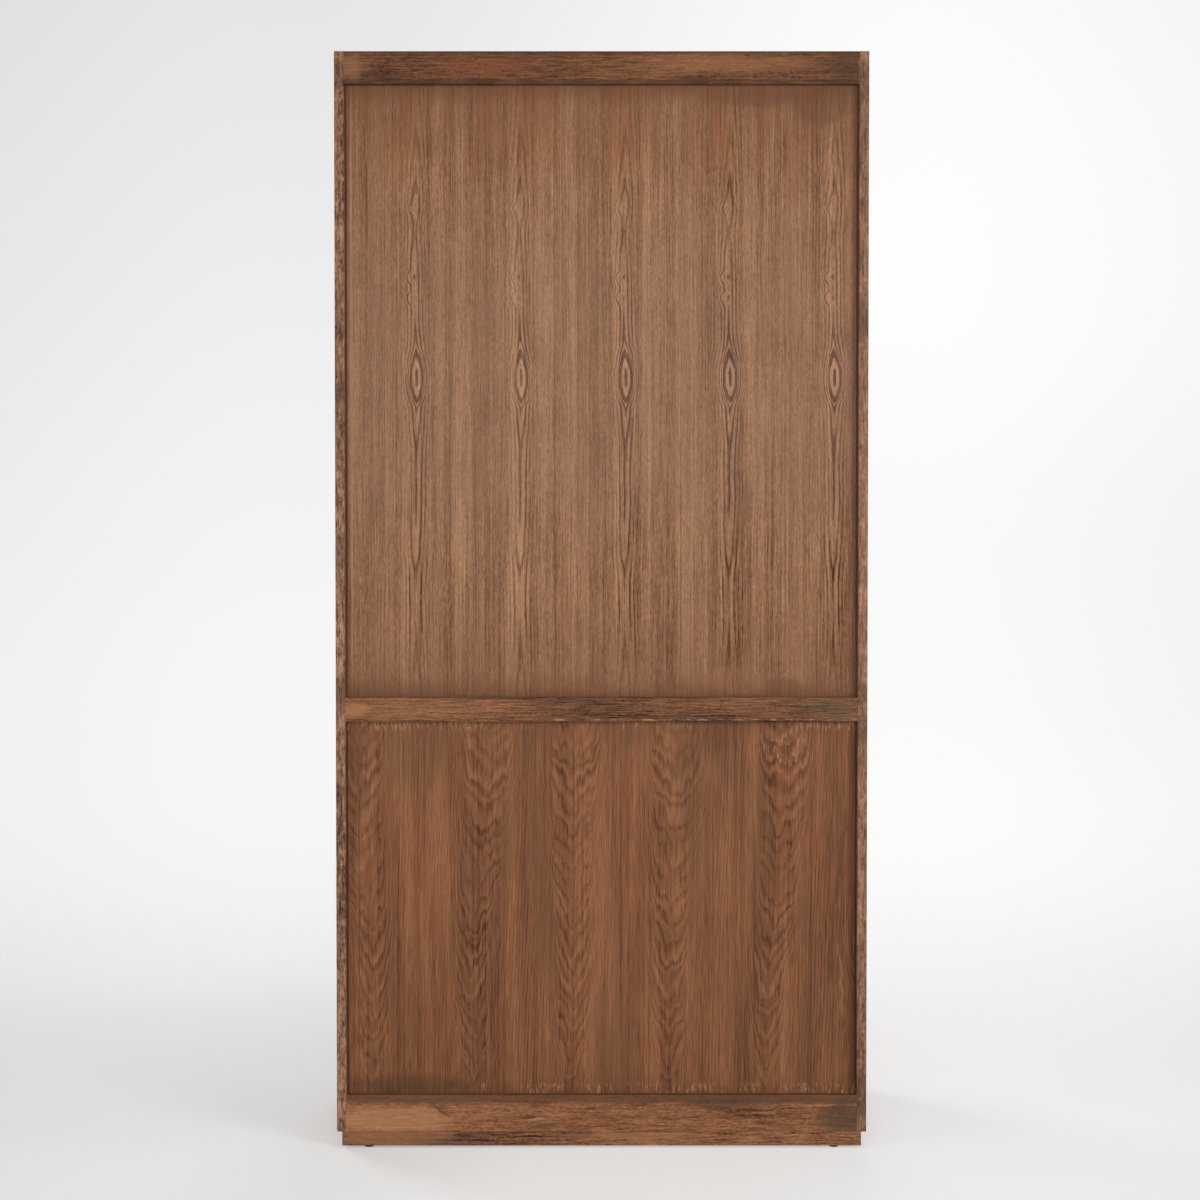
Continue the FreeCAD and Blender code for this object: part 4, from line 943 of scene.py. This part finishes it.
# %% Drop pulls
DROP_LENGTH = 0.05
DROP_RADIUS = 0.0056
DROP_OUTLINE = [
    (0.0, 0.045), (0.30, 0.045), (0.36, 0.10), (0.32, 0.17), (0.34, 0.22), (0.46, 0.235),
    (0.46, 0.255), (0.40, 0.27), (0.50, 0.36), (0.66, 0.46), (0.88, 0.60), (0.99, 0.70),
    (0.92, 0.80), (0.66, 0.86), (0.34, 0.895), (0.34, 0.91), (0.44, 0.93), (0.48, 0.955),
    (0.38, 0.98), (0.2, 0.995), (0.0, 1.0),
]
EYE_RADIUS = 0.0032
EYE_OUTLINE = [(0.0016, -0.0025), (0.0028, -0.0025), (EYE_RADIUS, -0.0019), (EYE_RADIUS, 0.0019),
               (0.0028, 0.0025), (0.0016, 0.0025), (0.0016, -0.0025)]
PULL_PIN_Y = -0.22845
ALONG_X = Matrix.Rotation(math.radians(90), 4, "Y")


def drop_pull(door):
    low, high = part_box(door + "_pull")
    pin = Vector(((low.x + high.x) / 2, PULL_PIN_Y, high.z - EYE_RADIUS))
    mesh = bmesh.new()
    outline = [(radius * DROP_RADIUS, -fall * DROP_LENGTH) for radius, fall in DROP_OUTLINE]
    lathe(mesh, outline, 40, Matrix.Translation(pin))
    lathe(mesh, EYE_OUTLINE, 32, Matrix.Translation(pin) @ ALONG_X)
    piece = into_object(mesh, door + "_turned_pull", door + "_drop", handled_brass)
    smoother = piece.modifiers.new("rounder", "SUBSURF")
    smoother.levels = 1
    smoother.render_levels = 1
    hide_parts(door + "_pull")
    return piece


for door in DOORS:
    drop_pull(door)

# %% [markdown]
# ## Screws
#
# The strike plates and the magnet housings are screwed on. A head is a disc with a bevelled
# rim and a sunk middle. Both come from insetting the disc's face, first up and then down: at
# this size the recess reads as the hole for the driver, and no boolean is needed.


# %% Strike and catch screws
def screw_head(mesh, radius, place):
    """A low head with a bevelled rim and a sunk middle."""
    made = bmesh.ops.create_circle(mesh, cap_ends=True, segments=24, radius=radius)
    top = list(made["verts"][0].link_faces)
    inner = bmesh.ops.inset_region(mesh, faces=top, thickness=radius * 0.18, depth=radius * 0.12,
                                   use_boundary=True, use_even_offset=True)
    bmesh.ops.inset_region(mesh, faces=top, thickness=radius * 0.34, depth=-radius * 0.3,
                           use_boundary=True, use_even_offset=True)
    verts = {vert for face in top + inner["faces"] for vert in face.verts} | set(made["verts"])
    reached = {vert for start in verts for edge in start.link_edges for vert in edge.verts}
    bmesh.ops.transform(mesh, matrix=place, verts=list(verts | reached))


STRIKE_SCREW_INSET, STRIKE_SCREW_RADIUS = 0.004, 0.0018
CATCH_SCREW_X, CATCH_SCREW_RADIUS = 0.022, 0.0024


def screws(name, body, spots, y, radius):
    mesh = bmesh.new()
    for x, z in spots:
        screw_head(mesh, radius, Matrix.Translation((x, y, z)) @ FACING_BACK)
    return into_object(mesh, name, body, steel)


for door in DOORS:
    low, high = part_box(door + "_strike_plate")
    middle = (low.z + high.z) / 2
    spots = [(low.x + STRIKE_SCREW_INSET, middle), (high.x - STRIKE_SCREW_INSET, middle)]
    screws(door + "_strike_screws", BODY_OF[door], spots, high.y, STRIKE_SCREW_RADIUS)
catch_low, catch_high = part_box("door_catches")
catch_spots = [(x, z) for x in (-CATCH_SCREW_X, CATCH_SCREW_X)
               for z in (catch_low.z + 0.03, catch_high.z - 0.01)]
screws("catch_screws", "carcass", catch_spots, catch_high.y, CATCH_SCREW_RADIUS)

# %% [markdown]
# ## Background and floor
#
# The studio is a pale sweep with no visible edge: a little brighter on the key light's side,
# and slightly darker where the floor turns up behind. Low down on the fill side it carries a
# painted shadow of the cabinet on the floor. The world is painted with that sweep, but only
# camera and glossy rays see it, so it adds no light of its own. The floor is a plain matt
# surface that keeps the cabinet's shadow; near the cabinet it also gives off light for the
# camera, more on the key light's side, which is painted light. Further out it lets the sweep
# show through, so that the two meet without a line from any side. Beyond the photograph's field
# the sweep turns to one plain level, since no other side was ever seen.

# %% The sweep that the camera sees
world = bpy.data.worlds.new("studio")
bpy.context.scene.world = world
world.use_nodes = True
world.node_tree.nodes.clear()
sweep = Painter(world.node_tree)
SWEEP_LOW, SWEEP_HIGH = -0.32, 0.28
# Levels of the sweep over its height, on the fill side and on the key side. The fill side's dip
# low down is a painted shadow of the cabinet on the floor beside it.
FILL_SIDE = [(0.0, 0.79), (0.06, 0.76), (0.10, 0.69), (0.15, 0.73), (0.21, 0.84), (0.29, 0.91),
             (0.40, 0.925), (0.55, 0.90), (0.75, 0.85), (1.0, 0.78)]
KEY_SIDE = [(0.0, 0.83), (0.12, 0.84), (0.20, 0.90), (0.30, 0.965), (0.42, 0.955),
            (0.55, 0.95), (0.75, 0.985), (1.0, 0.95)]
PLAIN_LEVEL = 0.92
WORLD_LIGHT = 0.24
direction = sweep.add("TexCoord").outputs["Generated"]
aside, _, rise = sweep.add("SeparateXYZ", {0: direction}).outputs
rise = sweep.spread(rise, SWEEP_LOW, SWEEP_HIGH)
fill_level = sweep.curve(rise, FILL_SIDE)
key_level = sweep.curve(rise, KEY_SIDE)
side = sweep.smooth(aside, 0.15, -0.15)
level = sweep.scaled(side, sweep.less(key_level, fill_level), fill_level)
off_middle = sweep.size(aside)
level = sweep.scaled(sweep.smooth(off_middle, 0.16, 0.34), -0.06, level)
round_about = sweep.smooth(off_middle, 0.29, 0.50)
level = sweep.scaled(round_about, sweep.less(PLAIN_LEVEL, level), level)
seen = sweep.add("Background", {"Strength": level, "Color": (0.998, 0.998, 1.0, 1.0)})
light = sweep.add("Background", {"Strength": WORLD_LIGHT, "Color": (1.0, 1.0, 1.0, 1.0)})
chosen = sweep.add("MixShader", {0: sweep.looking(), 1: light.outputs[0], 2: seen.outputs[0]})
sweep.add("OutputWorld", {"Surface": chosen.outputs[0]})
print("world light", WORLD_LIGHT)

# %% Floor
FLOOR_NEAR, FLOOR_FAR = 0.5, 2.4
FLOOR_RADIUS = 8.0


def floor_material():
    finish = Finish("studio_floor", (244, 244, 243), 0.9, Specular_IOR_Level=0.2)
    finish.shader.inputs["Base Color"].default_value = finish.colour
    level_place = finish.stretched(finish.place, (1, 1, 0))
    reach = finish.add("VectorMath", {0: level_place}, operation="LENGTH").outputs[1]
    looking = finish.looking()
    far = finish.scaled(finish.smooth(reach, FLOOR_NEAR, FLOOR_FAR), 0.68, 0.32)
    open_air = finish.add("BsdfTransparent")
    matt = finish.shader.outputs[0]
    blend = finish.add("MixShader", {0: finish.times(far, looking), 1: matt,
                                     2: open_air.outputs[0]})
    # Near the cabinet the floor also gives off light for the camera, more on the key lamp's side,
    # -X: painted light.
    lift = finish.times(looking, finish.smooth(reach, FLOOR_FAR, FLOOR_NEAR))
    brighter_on_key_side = finish.scaled(finish.smooth(finish.x, 0.55, 0.1), 0.10, 0.05)
    painted_floor_light = finish.add("Emission", {"Strength": finish.times(lift, brighter_on_key_side)})
    both = finish.add("AddShader", {0: blend.outputs[0], 1: painted_floor_light.outputs[0]})
    finish.links.new(both.outputs[0], finish.nodes["Material Output"].inputs["Surface"])
    return finish.material


floor_mesh = bmesh.new()
bmesh.ops.create_circle(floor_mesh, cap_ends=True, segments=96, radius=FLOOR_RADIUS)
floor_data = bpy.data.meshes.new("studio_floor")
floor_mesh.to_mesh(floor_data)
floor_mesh.free()
floor_data.materials.append(floor_material())
floor = bpy.data.objects.new("studio_floor", floor_data)
bpy.context.scene.collection.objects.link(floor)
print("floor reaches", max(vert.co.x for vert in floor_data.vertices), "metres")

# %% [markdown]
# ## Lamps
#
# One large key lamp hangs high on the photograph's right, which is -X. A weaker one fills from
# the left. The front gets its own pair, so that the doors are lit when they are turned to the
# camera.

# %% Lamps
AIM = Vector((0, 0, 1.0))
LAMPS = [
    ("key", (-3.3, 3.2, 1.7), 1.8, 90),
    ("frontal", (0.6, 4.6, 1.9), 2.0, 56),
    ("left_fill", (3.4, 2.2, 1.6), 1.6, 20),
    ("overhead", (0.0, 0.3, 4.4), 3.0, 20),
    ("front_key", (3.3, -3.2, 1.7), 1.8, 92),
    ("front_frontal", (-0.6, -4.6, 1.9), 2.0, 58),
]
for name, place, size, power in LAMPS:
    lamp = bpy.data.lights.new(name, "AREA")
    lamp.size = size
    lamp.energy = power
    holder = bpy.data.objects.new(name, lamp)
    holder.location = place
    holder.rotation_euler = (AIM - Vector(place)).to_track_quat("-Z", "Y").to_euler()
    bpy.context.scene.collection.objects.link(holder)
print(len(LAMPS), "lamps")
